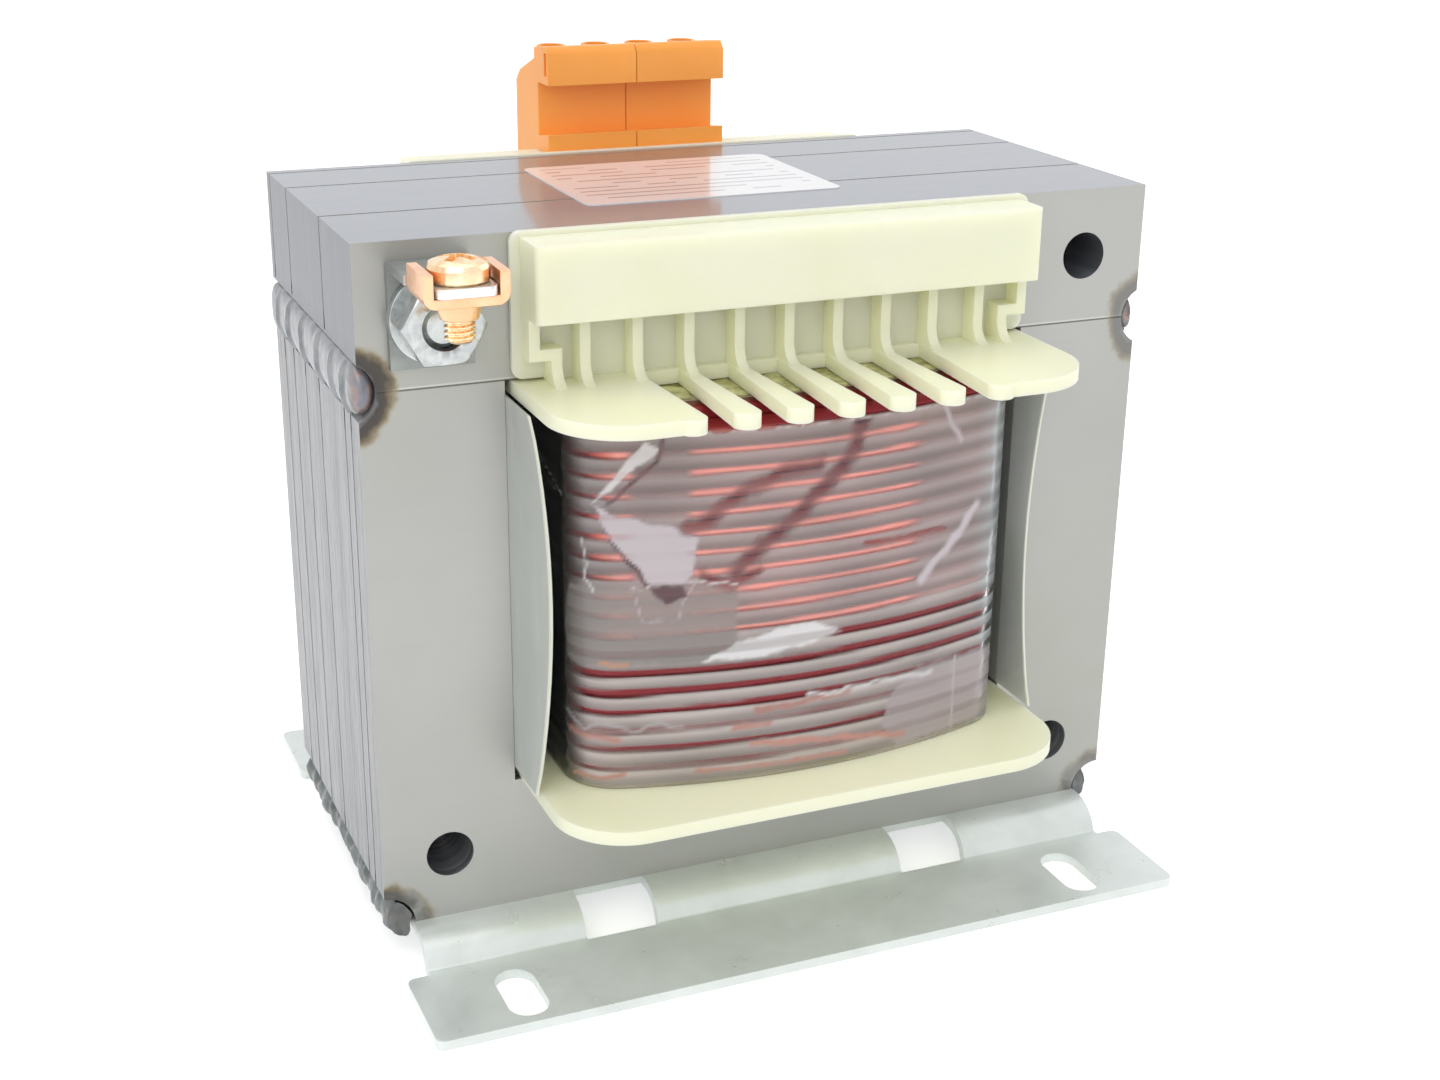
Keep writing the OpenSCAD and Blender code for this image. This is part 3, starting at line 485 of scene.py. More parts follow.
@dataclass(frozen=True)
class CoreFinish(Recipe):
    """Varnished sheets: plain on their faces, striped across their cut edges, tinted by welds."""

    face: Colour = (0.45, 0.45, 0.425)
    stain: Colour = (0.40, 0.41, 0.345)
    rolled: Colour = (0.36, 0.36, 0.35)
    edge_dark: Colour = (0.095, 0.099, 0.107)
    edge_light: Colour = (0.305, 0.31, 0.322)
    edge_gap: Colour = (0.18, 0.18, 0.20)
    cap_edge: Colour = (0.225, 0.24, 0.27)
    cap_scratch: Colour = (0.25, 0.27, 0.30)
    flank_painted_shade: float = 0.52
    sheet_mm: float = 0.5
    # Places and sizes of the welds, and how far their heat reached
    seam_mm: Point = (62.0, 85.75)
    seam_r_mm: float = 4.4
    foot_mm: Point = (59.6, 5.6)
    foot_r_mm: float = 4.0
    heat_mm: float = 3.6

    def fill(self, t: Tree) -> None:
        """Paints the edges, then the faces, then the heat.

        Args:
            t: The material's tree.
        """
        x, y, z = t.axes()
        seam_z = self.seam_mm[1]
        edge = t.math("SUBTRACT", 1.0, t.facing(1))
        # One grey for each sheet, with short pitted dashes along its cut edge
        sheets = t.times(y, 1.0 / (self.sheet_mm * MM))
        grey = t.node("ShaderNodeTexWhiteNoise", noise_dimensions="1D")
        t.feed(grey.inputs["W"], t.math("FLOOR", sheets))
        dashes = t.noise(1.0, 3.0, 0.62, stretch=(130.0, 1150.0, 130.0))
        bands = t.noise(1.0, 2.0, 0.5, stretch=(22.0, 300.0, 22.0))
        tone = t.times(bands, 0.30, t.times(dashes, 0.62, t.times(grey.outputs["Value"], 0.18)))
        line = t.span(t.off(t.math("FRACT", sheets), 0.5), 0.34, 0.5)
        rough_edge = t.ramp(tone, (0.34, self.edge_dark), (0.66, self.edge_light))
        rough_edge = t.mix(t.times(line, 0.25), rough_edge, self.edge_gap)
        # The upper stack's edges are ground smooth
        smooth_edge = t.mix(t.times(bands, 0.25), self.cap_edge, scaled(self.cap_edge, 1.25))
        smooth_edge = t.mix(t.times(t.span(dashes, 0.6, 0.75), 0.2), smooth_edge,
                            self.cap_scratch)
        # Painted shade: the upper stack's sides, which face across, are darker than its top
        smooth_edge = t.mix(t.times(t.facing(0), self.flank_painted_shade), smooth_edge,
                            scaled(self.cap_edge, 0.2))
        cap = t.span(z, (seam_z + 0.2) * MM, (seam_z + 0.6) * MM)
        edges = t.mix(cap, rough_edge, smooth_edge)
        cloud = t.noise(28.0, 3.0, 0.5)
        rolled = t.noise(1.0, 4.0, 0.65, stretch=(25.0, 25.0, 900.0))
        stains = t.noise(17.0, 3.0, 0.55, distort=0.6)
        faces = t.mix(t.span(cloud, 0.35, 0.7), self.face, scaled(self.face, 0.93))
        faces = t.mix(t.times(t.span(stains, 0.48, 0.72), 0.75), faces, self.stain)
        faces = t.mix(t.times(t.span(rolled, 0.45, 0.8), 0.10), faces, self.rolled)
        # The joint between the stacks: a dark line for the joint with a painted shadow in it, and
        # a painted highlight along the edge above it
        for height, width, shade in ((0.0, 0.16, (0.07, 0.07, 0.06)),
                                     (0.28, 0.14, (0.62, 0.61, 0.56))):
            far = t.off(z, (seam_z + height) * MM)
            faces = t.mix(t.times(t.span(far, width * MM, 0.5 * width * MM), 0.8), faces, shade)
        tint, strength = self.heat(t, x, z)
        pits = t.times(t.math("SUBTRACT", tone, t.times(line, 0.6)), edge)
        pits = t.times(pits, t.times(cap, -0.75, 1.0))
        t.set(Base_Color=t.mix(strength, t.mix(edge, faces, edges), tint), Metallic=0.45,
              Normal=t.bump(rolled, 0.006, 0.2, t.bump(pits, 0.09, 0.6)),
              Roughness=t.times(tone, 0.12, t.times(edge, -0.02, 0.33)),
              Coat_Weight=t.times(t.facing(2), 0.6, 0.2), Coat_Roughness=0.1)

    def heat(self, t: Tree, x: Socket, z: Socket) -> tuple[Socket, Socket]:
        """Colours the steel by its distance from the welds.

        Args:
            t: The material's tree.
            x: Place across the core.
            z: Place up the core.

        Returns:
            The tint and how much of it shows.
        """
        across = t.math("ABSOLUTE", x)
        reach = []
        for (line_x, line_z), radius in ((self.seam_mm, self.seam_r_mm),
                                         (self.foot_mm, self.foot_r_mm)):
            dx = t.math("SUBTRACT", across, line_x * MM)
            dz = t.math("SUBTRACT", z, line_z * MM)
            square = t.times(dx, dx, t.times(dz, dz))
            reach.append(t.math("SUBTRACT", t.math("SQRT", square), radius * MM))
        wobble = t.math("SUBTRACT", t.noise(230.0, 3.0, 0.6), 0.5)
        near = t.times(wobble, 0.0034, t.math("MINIMUM", *reach))
        tint = t.ramp(t.times(near, 1.0 / (self.heat_mm * MM)), (0.0, (0.10, 0.095, 0.095)),
                      (0.1, (0.022, 0.016, 0.013)), (0.42, (0.035, 0.024, 0.014)),
                      (0.62, (0.19, 0.14, 0.075)), (0.85, (0.36, 0.33, 0.23)),
                      (1.0, (0.42, 0.41, 0.34)))
        # The left seam was the hottest; the stains at the feet are patchy
        left = t.span(x, 0.0, 0.001, 1.0, 0.62)
        patches = t.span(t.noise(170.0, 2.0, 0.5, distort=0.6), 0.32, 0.62, 0.35, 1.0)
        left = t.times(left, t.math("MAXIMUM", t.span(z, 0.02, 0.03), patches))
        front = t.times(t.times(t.facing(1), 0.88, 0.04), left)
        return tint, t.times(t.span(near, self.heat_mm * MM, 0.0022), front)


@dataclass(frozen=True)
class Metal(Recipe):
    """Plain or plated metal with soft mottling, fine scratches and dark specks."""

    colour: Colour
    dull: Colour
    rough: float = 0.3
    metallic: float = 1.0
    mottle: float = 120.0
    grain: float = 0.3
    specks: float = 0.0
    speck: Colour = (0.16, 0.16, 0.15)

    def fill(self, t: Tree) -> None:
        """Mottles and scratches the metal.

        Args:
            t: The material's tree.
        """
        clouds = t.noise(self.mottle, 4.0, 0.6, distort=0.4)
        specks = t.times(t.span(t.noise(620.0, 3.0, 0.6), 0.66, 0.70),
                         t.span(t.noise(45.0, 2.0, 0.5), 0.56, 0.66))
        colour = t.ramp(clouds, (0.3, self.dull), (0.62, self.colour))
        t.set(Base_Color=t.mix(t.times(specks, self.specks), colour, self.speck),
              Metallic=self.metallic, Roughness=t.times(clouds, 0.18, self.rough - 0.09),
              Normal=t.bump(t.mix(0.5, t.noise(1400.0, 3.0, 0.7), clouds), 0.03, self.grain))


@dataclass(frozen=True)
class WeldFinish(Recipe):
    """Varnished weld metal, blue and brown where a bead ends."""

    metal: Colour = (0.31, 0.32, 0.33)
    dark: Colour = (0.20, 0.21, 0.22)
    oxide: float = 1.0
    half_length_mm: float = 26.5

    def fill(self, t: Tree) -> None:
        """Lays oxide over the ends of the bead.

        Args:
            t: The material's tree.
        """
        lumps = t.noise(300.0, 3.0, 0.55)
        blotch = t.noise(190.0, 3.0, 0.6, distort=0.5)
        to_end = t.times(blotch, 0.003, t.math("ABSOLUTE", t.axes()[1]))
        end = t.span(to_end, (self.half_length_mm - 1.2) * MM, (self.half_length_mm + 2.2) * MM)
        oxide = t.ramp(blotch, (0.36, (0.14, 0.15, 0.16)), (0.47, (0.20, 0.19, 0.24)),
                       (0.53, (0.35, 0.24, 0.20)), (0.6, (0.16, 0.13, 0.12)))
        colour = t.ramp(lumps, (0.3, self.dark), (0.6, self.metal))
        t.set(Base_Color=t.mix(t.times(end, self.oxide), colour, oxide), Metallic=0.45,
              Coat_Weight=0.35, Coat_Roughness=0.1, Roughness=t.times(lumps, 0.25, 0.28),
              Normal=t.bump(lumps, 0.08, 0.4))


@dataclass(frozen=True)
class Plastic(Recipe):
    """Moulded plastic: a fine grain, slight colour drift and light within."""

    colour: Colour
    shade: Colour
    rough: float = 0.42
    glow: float = 0.0
    glow_mm: Colour = (2.0, 1.8, 1.2)
    grain_mm: float = 0.012
    mottle: float = 60.0

    def fill(self, t: Tree) -> None:
        """Grains the plastic.

        Args:
            t: The material's tree.
        """
        clouds = t.noise(self.mottle, 3.0, 0.55)
        grain = t.noise(2600.0, 2.0, 0.6)
        t.set(Base_Color=t.ramp(clouds, (0.25, self.shade), (0.7, self.colour)),
              Roughness=t.times(grain, 0.14, self.rough - 0.07), IOR=1.5,
              Subsurface_Weight=self.glow, Subsurface_Radius=self.glow_mm, Subsurface_Scale=MM,
              Normal=t.bump(t.mix(0.35, grain, clouds), self.grain_mm, 0.5))


@dataclass(frozen=True)
class PlateFinish(Recipe):
    """Dull plated sheet, worn bright on the tongue under the clamp."""

    dull: Colour = (0.24, 0.255, 0.24)
    mid: Colour = (0.32, 0.34, 0.325)
    bright: Colour = (0.80, 0.82, 0.83)
    tongue_y_mm: float = -36.0

    def fill(self, t: Tree) -> None:
        """Wears the tongue.

        Args:
            t: The material's tree.
        """
        clouds = t.noise(260.0, 4.0, 0.6, distort=0.4)
        worn = t.span(t.axes()[1], self.tongue_y_mm * MM, (self.tongue_y_mm - 1.0) * MM)
        colour = t.mix(worn, t.ramp(clouds, (0.3, self.dull), (0.65, self.mid)), self.bright)
        t.set(Base_Color=colour, Metallic=0.7, Roughness=t.times(worn, -0.18, 0.42),
              Normal=t.bump(clouds, 0.03, 0.4))


@dataclass(frozen=True)
class BoardFinish(Recipe):
    """Thin fibre board, paler along its cut front and rear edges: partly the cut fibres' own
    colour, partly a painted highlight.
    """

    face: Colour = (0.49, 0.52, 0.48)
    cloud: Colour = (0.44, 0.465, 0.43)
    fibre: Colour = (0.62, 0.65, 0.62)
    cut: Colour = (0.78, 0.79, 0.66)
    half_depth_mm: float = 36.4

    def fill(self, t: Tree) -> None:
        """Lays fibres and pales the cut edges, partly as a painted highlight.

        Args:
            t: The material's tree.
        """
        fibres = t.noise(1.0, 3.0, 0.6, stretch=(300.0, 300.0, 40.0))
        colour = t.ramp(t.noise(60.0, 3.0, 0.55), (0.3, self.cloud), (0.7, self.face))
        colour = t.mix(t.times(t.span(fibres, 0.5, 0.8), 0.3), colour, self.fibre)
        # The pale band along the cut edges is partly a painted highlight
        rim_and_highlight = t.span(t.math("ABSOLUTE", t.axes()[1]), (self.half_depth_mm - 0.6) * MM,
                     (self.half_depth_mm - 0.3) * MM)
        t.set(Base_Color=t.mix(rim_and_highlight, colour, self.cut), Roughness=0.35, Subsurface_Weight=0.3,
              Subsurface_Radius=(3.0, 3.0, 2.8), Subsurface_Scale=MM,
              Normal=t.bump(fibres, 0.02, 0.4))


@dataclass(frozen=True)
class EnamelFinish(Recipe):
    """Copper wire under red-brown enamel; a colour layer on the turns paints a pink highlight on
    the upper turns and painted shade on the flanks, and leaves the rest dark red.
    """

    # The crown colour is a painted highlight; deep is the plain enamel
    crown: Colour = (1.0, 0.37, 0.31)
    mid: Colour = (0.62, 0.12, 0.09)
    deep: Colour = (0.21, 0.006, 0.012)

    def fill(self, t: Tree) -> None:
        """Streaks the enamel along the wire.

        Args:
            t: The material's tree.
        """
        along = t.noise(1.0, 3.0, 0.6, stretch=(60.0, 60.0, 700.0))
        # The layer is painted light: 1 gives a pink highlight, near 0 leaves plain dark red, and
        # low values on the flanks are painted shade
        depth = t.node("ShaderNodeVertexColor", layer_name="enamel_painted_light").outputs["Color"]
        tone = t.times(t.math("SUBTRACT", along, 0.5), 0.5, depth)
        t.set(Base_Color=t.ramp(tone, (0.25, self.deep), (0.55, self.mid), (0.9, self.crown)),
              Metallic=0.4, Roughness=t.times(along, 0.2, 0.22), Coat_Weight=0.2,
              Coat_Roughness=0.08, Specular_IOR_Level=0.3, Normal=t.bump(along, 0.02, 0.3))


@dataclass(frozen=True)
class FilmFinish(Recipe):
    """Clear glossy film; its haze, a painted reflection where air lies under it with painted
    glare, highlights and shade, comes with the mesh.
    """

    gloss: float = 0.13
    mirror: float = 0.12

    def fill(self, t: Tree) -> None:
        """Lays gloss over the painted haze over clear film.

        Args:
            t: The material's tree.
        """
        relief = t.bump(t.noise(60.0, 3.0, 0.5, distort=1.2), 0.5, 0.5)
        # The haze layer is painted light: reflection, glare, highlights and shade
        haze_painted_light = t.node("ShaderNodeVertexColor", layer_name="haze_painted_light").outputs
        t.set(Base_Color=haze_painted_light["Color"], Roughness=0.35, Normal=relief)
        gloss = t.node("ShaderNodeBsdfAnisotropic")
        mirror = t.node("ShaderNodeLayerWeight")
        for socket, value in ((gloss.inputs["Color"], (1.0, 1.0, 1.0)),
                              (gloss.inputs["Roughness"], self.gloss),
                              (gloss.inputs["Normal"], relief),
                              (mirror.inputs["Blend"], self.mirror),
                              (mirror.inputs["Normal"], relief)):
            t.feed(socket, value)
        body = t.join("ShaderNodeMixShader", haze_painted_light["Alpha"], t.join("ShaderNodeBsdfTransparent"),
                      t.shader.outputs[0])
        t.finish(t.join("ShaderNodeMixShader", mirror.outputs["Fresnel"], body,
                        gloss.outputs[0]))


@dataclass(frozen=True)
class LabelFinish(Recipe):
    """Glossy white film with rows of plain grey bars in place of print."""

    paper: Colour = (0.80, 0.79, 0.79)
    ink: Colour = (0.22, 0.22, 0.24)
    row_mm: float = 2.6
    cell_mm: float = 4.5
    bar: float = 0.13
    empty: float = 0.35
    margin_mm: float = 2.2

    def fill(self, t: Tree) -> None:
        """Rules the bars inside the margins.

        Args:
            t: The material's tree.
        """
        x, y, _ = t.axes()
        low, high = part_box("rating_label")
        rows = t.times(t.math("SUBTRACT", y, low.y), 1.0 / (self.row_mm * MM))
        cells = t.times(t.math("SUBTRACT", x, low.x), 1.0 / (self.cell_mm * MM))
        pick = t.node("ShaderNodeTexWhiteNoise", noise_dimensions="2D")
        t.feed(pick.inputs["Vector"], t.join("ShaderNodeCombineXYZ", t.math("FLOOR", cells),
                                             t.math("FLOOR", rows)))
        bar = t.math("LESS_THAN", t.off(t.math("FRACT", rows), 0.5), self.bar)
        bar = t.times(bar, t.math("GREATER_THAN", pick.outputs["Value"], self.empty))
        margin = self.margin_mm * MM
        for value, start, end in ((x, low.x, high.x), (y, low.y, high.y)):
            bar = t.times(bar, t.math("GREATER_THAN", value, start + margin))
            bar = t.times(bar, t.math("LESS_THAN", value, end - margin))
        fibres = t.noise(500.0, 3.0, 0.6)
        paper = t.mix(t.span(fibres, 0.4, 0.7), self.paper, scaled(self.paper, 0.97))
        t.set(Base_Color=t.mix(t.times(bar, 0.75), paper, self.ink), Coat_Weight=1.0,
              Roughness=t.times(fibres, 0.1, 0.28), Coat_Roughness=0.12,
              Normal=t.bump(fibres, 0.01, 0.4))


class Finish(Enum):
    """The finishes; each value is its material's name, and a slot of the record if it has one."""

    CORE = "varnished_core"
    WELD = "weld_bead"
    FOOT_WELD = "burnt_weld"
    ZINC = "zinc_sheet"
    PLATE = "dull_plate"
    NYLON = "nylon"
    WIRE = "winding_wire"
    PAPER = "insulation_paper"
    TAPE = "fibre_tape"
    FILM = "clear_film"
    BOARD = "grey_board"
    ORANGE = "orange_plastic"
    SCREW = "zinc_screw"
    STRIP = "tinned_strip"
    SLEEVE = "sleeved_lead"
    COPPER = "copper_part"
    GILT = "gilt_screw"
    LABEL = "white_label"


RECIPES = {
    Finish.CORE: CoreFinish(),
    Finish.WELD: WeldFinish(),
    Finish.FOOT_WELD: WeldFinish((0.17, 0.19, 0.185), (0.075, 0.085, 0.085), 0.25),
    Finish.ZINC: Metal((0.78, 0.825, 0.80), (0.69, 0.735, 0.705), 0.3, 0.35, 90.0, 0.25, 0.55),
    Finish.PLATE: PlateFinish(),
    Finish.NYLON: Plastic((0.93, 0.93, 0.69), (0.89, 0.895, 0.63), 0.36, 0.6, (4.0, 3.8, 2.4)),
    Finish.WIRE: EnamelFinish(),
    Finish.PAPER: Plastic((0.70, 0.64, 0.42), (0.60, 0.54, 0.34), 0.7),
    # The tape's pale and dark tones are its fibres and also a painted highlight and shade in its
    # crumples
    Finish.TAPE: Plastic((0.80, 0.80, 0.42), (0.22, 0.20, 0.05), 0.3, grain_mm=0.5,
                         mottle=520.0),
    Finish.FILM: FilmFinish(),
    Finish.BOARD: BoardFinish(),
    Finish.ORANGE: Plastic((1.0, 0.40, 0.075), (0.96, 0.36, 0.06), 0.42, 0.15, (1.5, 0.8, 0.4)),
    Finish.SCREW: Metal((0.56, 0.58, 0.57), (0.38, 0.40, 0.40), 0.24, 1.0, 500.0, 0.35),
    Finish.STRIP: Metal((0.78, 0.70, 0.45), (0.62, 0.54, 0.34)),
    Finish.SLEEVE: Plastic((0.75, 0.66, 0.45), (0.66, 0.56, 0.36), 0.45),
    Finish.COPPER: Metal((0.98, 0.60, 0.37), (0.93, 0.50, 0.28), 0.24, 0.9, 350.0),
    Finish.GILT: Metal((1.0, 0.82, 0.55), (0.90, 0.55, 0.30), 0.2, 0.9, 330.0, 0.35),
    Finish.LABEL: LabelFinish(),
}


class Paintshop:
    """Makes each finish once and puts it on pieces."""

    def __init__(self) -> None:
        """Builds every finish."""
        self.made = {finish: recipe.build(finish.value) for finish, recipe in RECIPES.items()}

    def dress(self, piece: bpy.types.Object, finish: Finish) -> bpy.types.Object:
        """Puts a finish on a piece.

        Args:
            piece: A node or a new piece.
            finish: Which finish.

        Returns:
            The piece.
        """
        if not piece.data.materials:
            piece.data.materials.append(self.made[finish])
        for slot in piece.material_slots:
            configured(slot, link="OBJECT", material=self.made[finish])
        return piece

    def fit(self, piece: bpy.types.Object, finish: Finish, *nodes: str) -> None:
        """Dresses a new piece, fixes it to the body and puts it in the place of its nodes.

        Args:
            piece: The new piece.
            finish: Which finish.
            nodes: Names of the nodes that it stands for.
        """
        self.dress(piece, finish)
        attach(piece, BODY)
        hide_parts(*nodes)
        log.info("%s: %d faces", piece.name, len(piece.data.polygons))


# Sub-assemblies


Look = tuple[str, Finish, float]


@dataclass
class Assembly:
    """Nodes that are dressed as they are: their names, finishes and rounded edges in mm."""

    shop: Paintshop
    looks: tuple[Look, ...] = ()

    def build(self) -> None:
        """Dresses the nodes."""
        for name, finish, edge_mm in self.looks:
            node = self.shop.dress(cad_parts[name], finish)
            if edge_mm:
                soften(node, edge_mm)


@dataclass(frozen=True)
class Bead:
    """A seam bead in mm: its level on the side face and the steps between its scales."""

    node: str
    side: float
    base: float
    rise: float
    steps: tuple[float, ...]
    fine: float = 0.1
    ripple_mm: float = 2.3
    bend: float = 1.9
    droop: float = 0.16


@dataclass
class Core(Assembly):
    """The two stacks and their four welds."""

    looks: tuple[Look, ...] = (("e_laminations", Finish.CORE, 0.0),
                               ("i_laminations", Finish.CORE, 0.0),
                               ("foot_weld_left", Finish.FOOT_WELD, 0.0),
                               ("foot_weld_right", Finish.FOOT_WELD, 0.0))
    notch_depth_mm: float = 2.4
    sunk_mm: float = 0.4
    dome_mm: float = 2.6
    melt_voxel: float = 0.00025
    lump_size: float = 0.004
    lump_height: float = 0.0014
    lump_level: float = 0.82
    rows: int = 330
    columns: int = 31
    beads: tuple[Bead, ...] = (
        Bead("seam_weld_left", -1.0, 0.62, 0.42, (-20.9, -14.2, -5.5, 4.5, 13.5, 20.4), 0.1,
             3.1, 1.4, 0.3),
        Bead("seam_weld_right", 1.0, -0.75, 0.35,
             (-22.5, -17.8, -13.5, -8.6, -4.6, 0.4, 5.2, 9.6, 14.5, 19.2, 23.6), 0.16, 2.4, 2.6))

    def build(self) -> None:
        """Dresses the stacks, lays the beads and melts the lumps at the feet."""
        super().build()
        for bead in self.beads:
            self.seam_bead(bead)
        lumps = configured(bpy.data.textures.new("weld_lumps", "CLOUDS"),
                           noise_scale=self.lump_size)
        for name in ("foot_weld_left", "foot_weld_right"):
            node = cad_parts[name]
            modify(node, "REMESH", mode="VOXEL", voxel_size=self.melt_voxel,
                   use_smooth_shade=True)
            modify(node, "DISPLACE", texture=lumps, texture_coords="GLOBAL",
                   strength=self.lump_height, mid_level=self.lump_level)
            modify(node, "SMOOTH", factor=0.5, iterations=7)

    def seam_bead(self, bead: Bead) -> None:
        """Lays a bead of overlapping scales in a seam notch, with a domed end at the front.

        Args:
            bead: The bead's sizes.
        """
        low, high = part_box(bead.node)
        face, end = (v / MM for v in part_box("e_laminations")[1].xy)
        mid_z, half = 0.5 * (high.z + low.z) / MM, 0.5 * (high.z - low.z) / MM
        marks = (-end - 6.0, *bead.steps, end + 6.0)
        rings = []
        for r in range(self.rows + 1):
            y = -end + 2.0 * end * r / self.rows
            reach = max(0.0, abs(y) - end + self.dome_mm) / self.dome_mm
            dome = math.sqrt(max(0.01, 1.0 - reach * reach))
            ring = []
            for c in range(self.columns):
                v = 2.0 * c / (self.columns - 1) - 1.0
                # Every scale starts thin behind its step and thickens towards the front
                bent = y + bead.bend * v * v + 0.5 * ripple(y * 0.5, v * 1.5, bead.side)
                after = next(i for i, mark in enumerate(marks) if mark > bent)
                share = (marks[after] - bent) / (marks[after] - marks[after - 1])
                tile = share ** 0.8 * smooth_step(share, 1.0, 0.94)
                crown = max(0.0, 1.0 - abs(v) ** 2.8) ** 0.5
                fine = abs(math.sin(math.pi * bent / bead.ripple_mm)) ** 0.6
                out = bead.base + bead.rise * tile + bead.fine * (fine - 0.5)
                out += 0.05 * ripple(y * 0.9, v * 4.0, 3.0)
                level = (crown * (out + self.sunk_mm) - self.sunk_mm if bead.base > 0
                         else out - 0.9 * crown)
                droop = 1.0 + (bead.droop * (tile - 0.6) if v < 0 else
                               0.08 * ripple(y * 0.35, 2.0, bead.side))
                ring.append((level, half * v * droop))
            for c in range(self.columns - 2, 0, -1):
                v = 2.0 * c / (self.columns - 1) - 1.0
                depth = 0.97 * self.notch_depth_mm * math.sqrt(1.0 - v * v)
                ring.append((-self.sunk_mm - depth, half * v))
            points = [Vector((bead.side * (face + dome * (level + 0.8) - 0.8), y,
                              mid_z + dome * z)) * MM for level, z in ring]
            rings.append(points[::-1] if bead.side > 0 else points)
        plan = MeshPlan()
        plan.sweep(rings)
        self.shop.fit(plan.build(bead.node + "_bead", 50), Finish.WELD, bead.node)


@dataclass
class Feet(Assembly):
    """The two folded foot brackets, with their sheared edges rounded."""

    looks: tuple[Look, ...] = (("foot_bracket_front", Finish.ZINC, 0.18),
                               ("foot_bracket_rear", Finish.ZINC, 0.18))


@dataclass
class Bobbin(Assembly):
    """The moulded bobbin, with its edges rounded as a mould does."""

    looks: tuple[Look, ...] = (("bobbin", Finish.NYLON, 0.3),)


@dataclass
class Sheets(Assembly):
    """The thin insulating sheets that bow in beside the coil."""

    looks: tuple[Look, ...] = (("insulating_sheet_left", Finish.BOARD, 0.0),
                               ("insulating_sheet_right", Finish.BOARD, 0.0))


@dataclass
class Terminals(Assembly):
    """The orange terminal blocks with the metal in them."""

    looks: tuple[Look, ...] = (("terminal_block_left", Finish.ORANGE, 0.2),
                               ("terminal_block_right", Finish.ORANGE, 0.2),
                               ("terminal_clamps", Finish.SCREW, 0.0),
                               ("terminal_screws", Finish.SCREW, 0.0),
                               ("terminal_contacts", Finish.STRIP, 0.0))


@dataclass
class Label(Assembly):
    """The rating label."""

    looks: tuple[Look, ...] = (("rating_label", Finish.LABEL, 0.0),)


def paint(piece: bpy.types.Object, layer: str, colours: Sequence[Sequence[float]]) -> None:
    """Stores the red, green, blue and cover of each point in a layer of a piece."""
    made = piece.data.color_attributes.new(layer, "FLOAT_COLOR", "POINT")
    made.data.foreach_set("color", [value for colour in colours for value in colour])


@dataclass(frozen=True)
class FilmPatchAndLight:
    """A place where the film shows painted glare, reflection, highlight or shade, some of them
    also pushed in as a fold: a filled outline, or a line with a width.

    Places are mm along the film from the middle of the front, and mm above the ground.
    """

    outline: tuple[Point, ...]
    colour: Colour
    cover: float
    width: float = 0.0
    soft: float = 0.35
    push: float = 0.0

    def share(self, place: Point) -> float:
        """Finds how much of it shows at a place.

        Args:
            place: The place.

        Returns:
            A value from 0 to 1.
        """
        margin = 0.5 * self.width + self.soft
        if not all(min(p[k] for p in self.outline) - margin <= place[k]
                   <= max(p[k] for p in self.outline) + margin for k in (0, 1)):
            return 0.0
        far = edge_distance(place, self.outline, self.width == 0.0) - 0.5 * self.width
        return smooth_step(far, self.soft, -self.soft)


# Colours painted into the film's haze: white and lilac painted glare, pink painted highlights on
# the turns, grey-brown and dusk painted reflection of the surroundings, painted shade, darker
# painted shade on the left flank, and painted light on the right side
GLARE_WHITE = (0.82, 0.80, 0.80)
PINK_HIGHLIGHT = (0.80, 0.40, 0.34)
LILAC_GLARE = (0.66, 0.60, 0.63)
GREY_BROWN_REFLECTION = (0.41, 0.36, 0.35)
DUSK_REFLECTION = (0.56, 0.50, 0.475)
SHADE = (0.10, 0.065, 0.08)
FLANK_SHADE = (0.055, 0.055, 0.055)
RIGHT_PAINTED_LIGHT = (0.46, 0.49, 0.49)


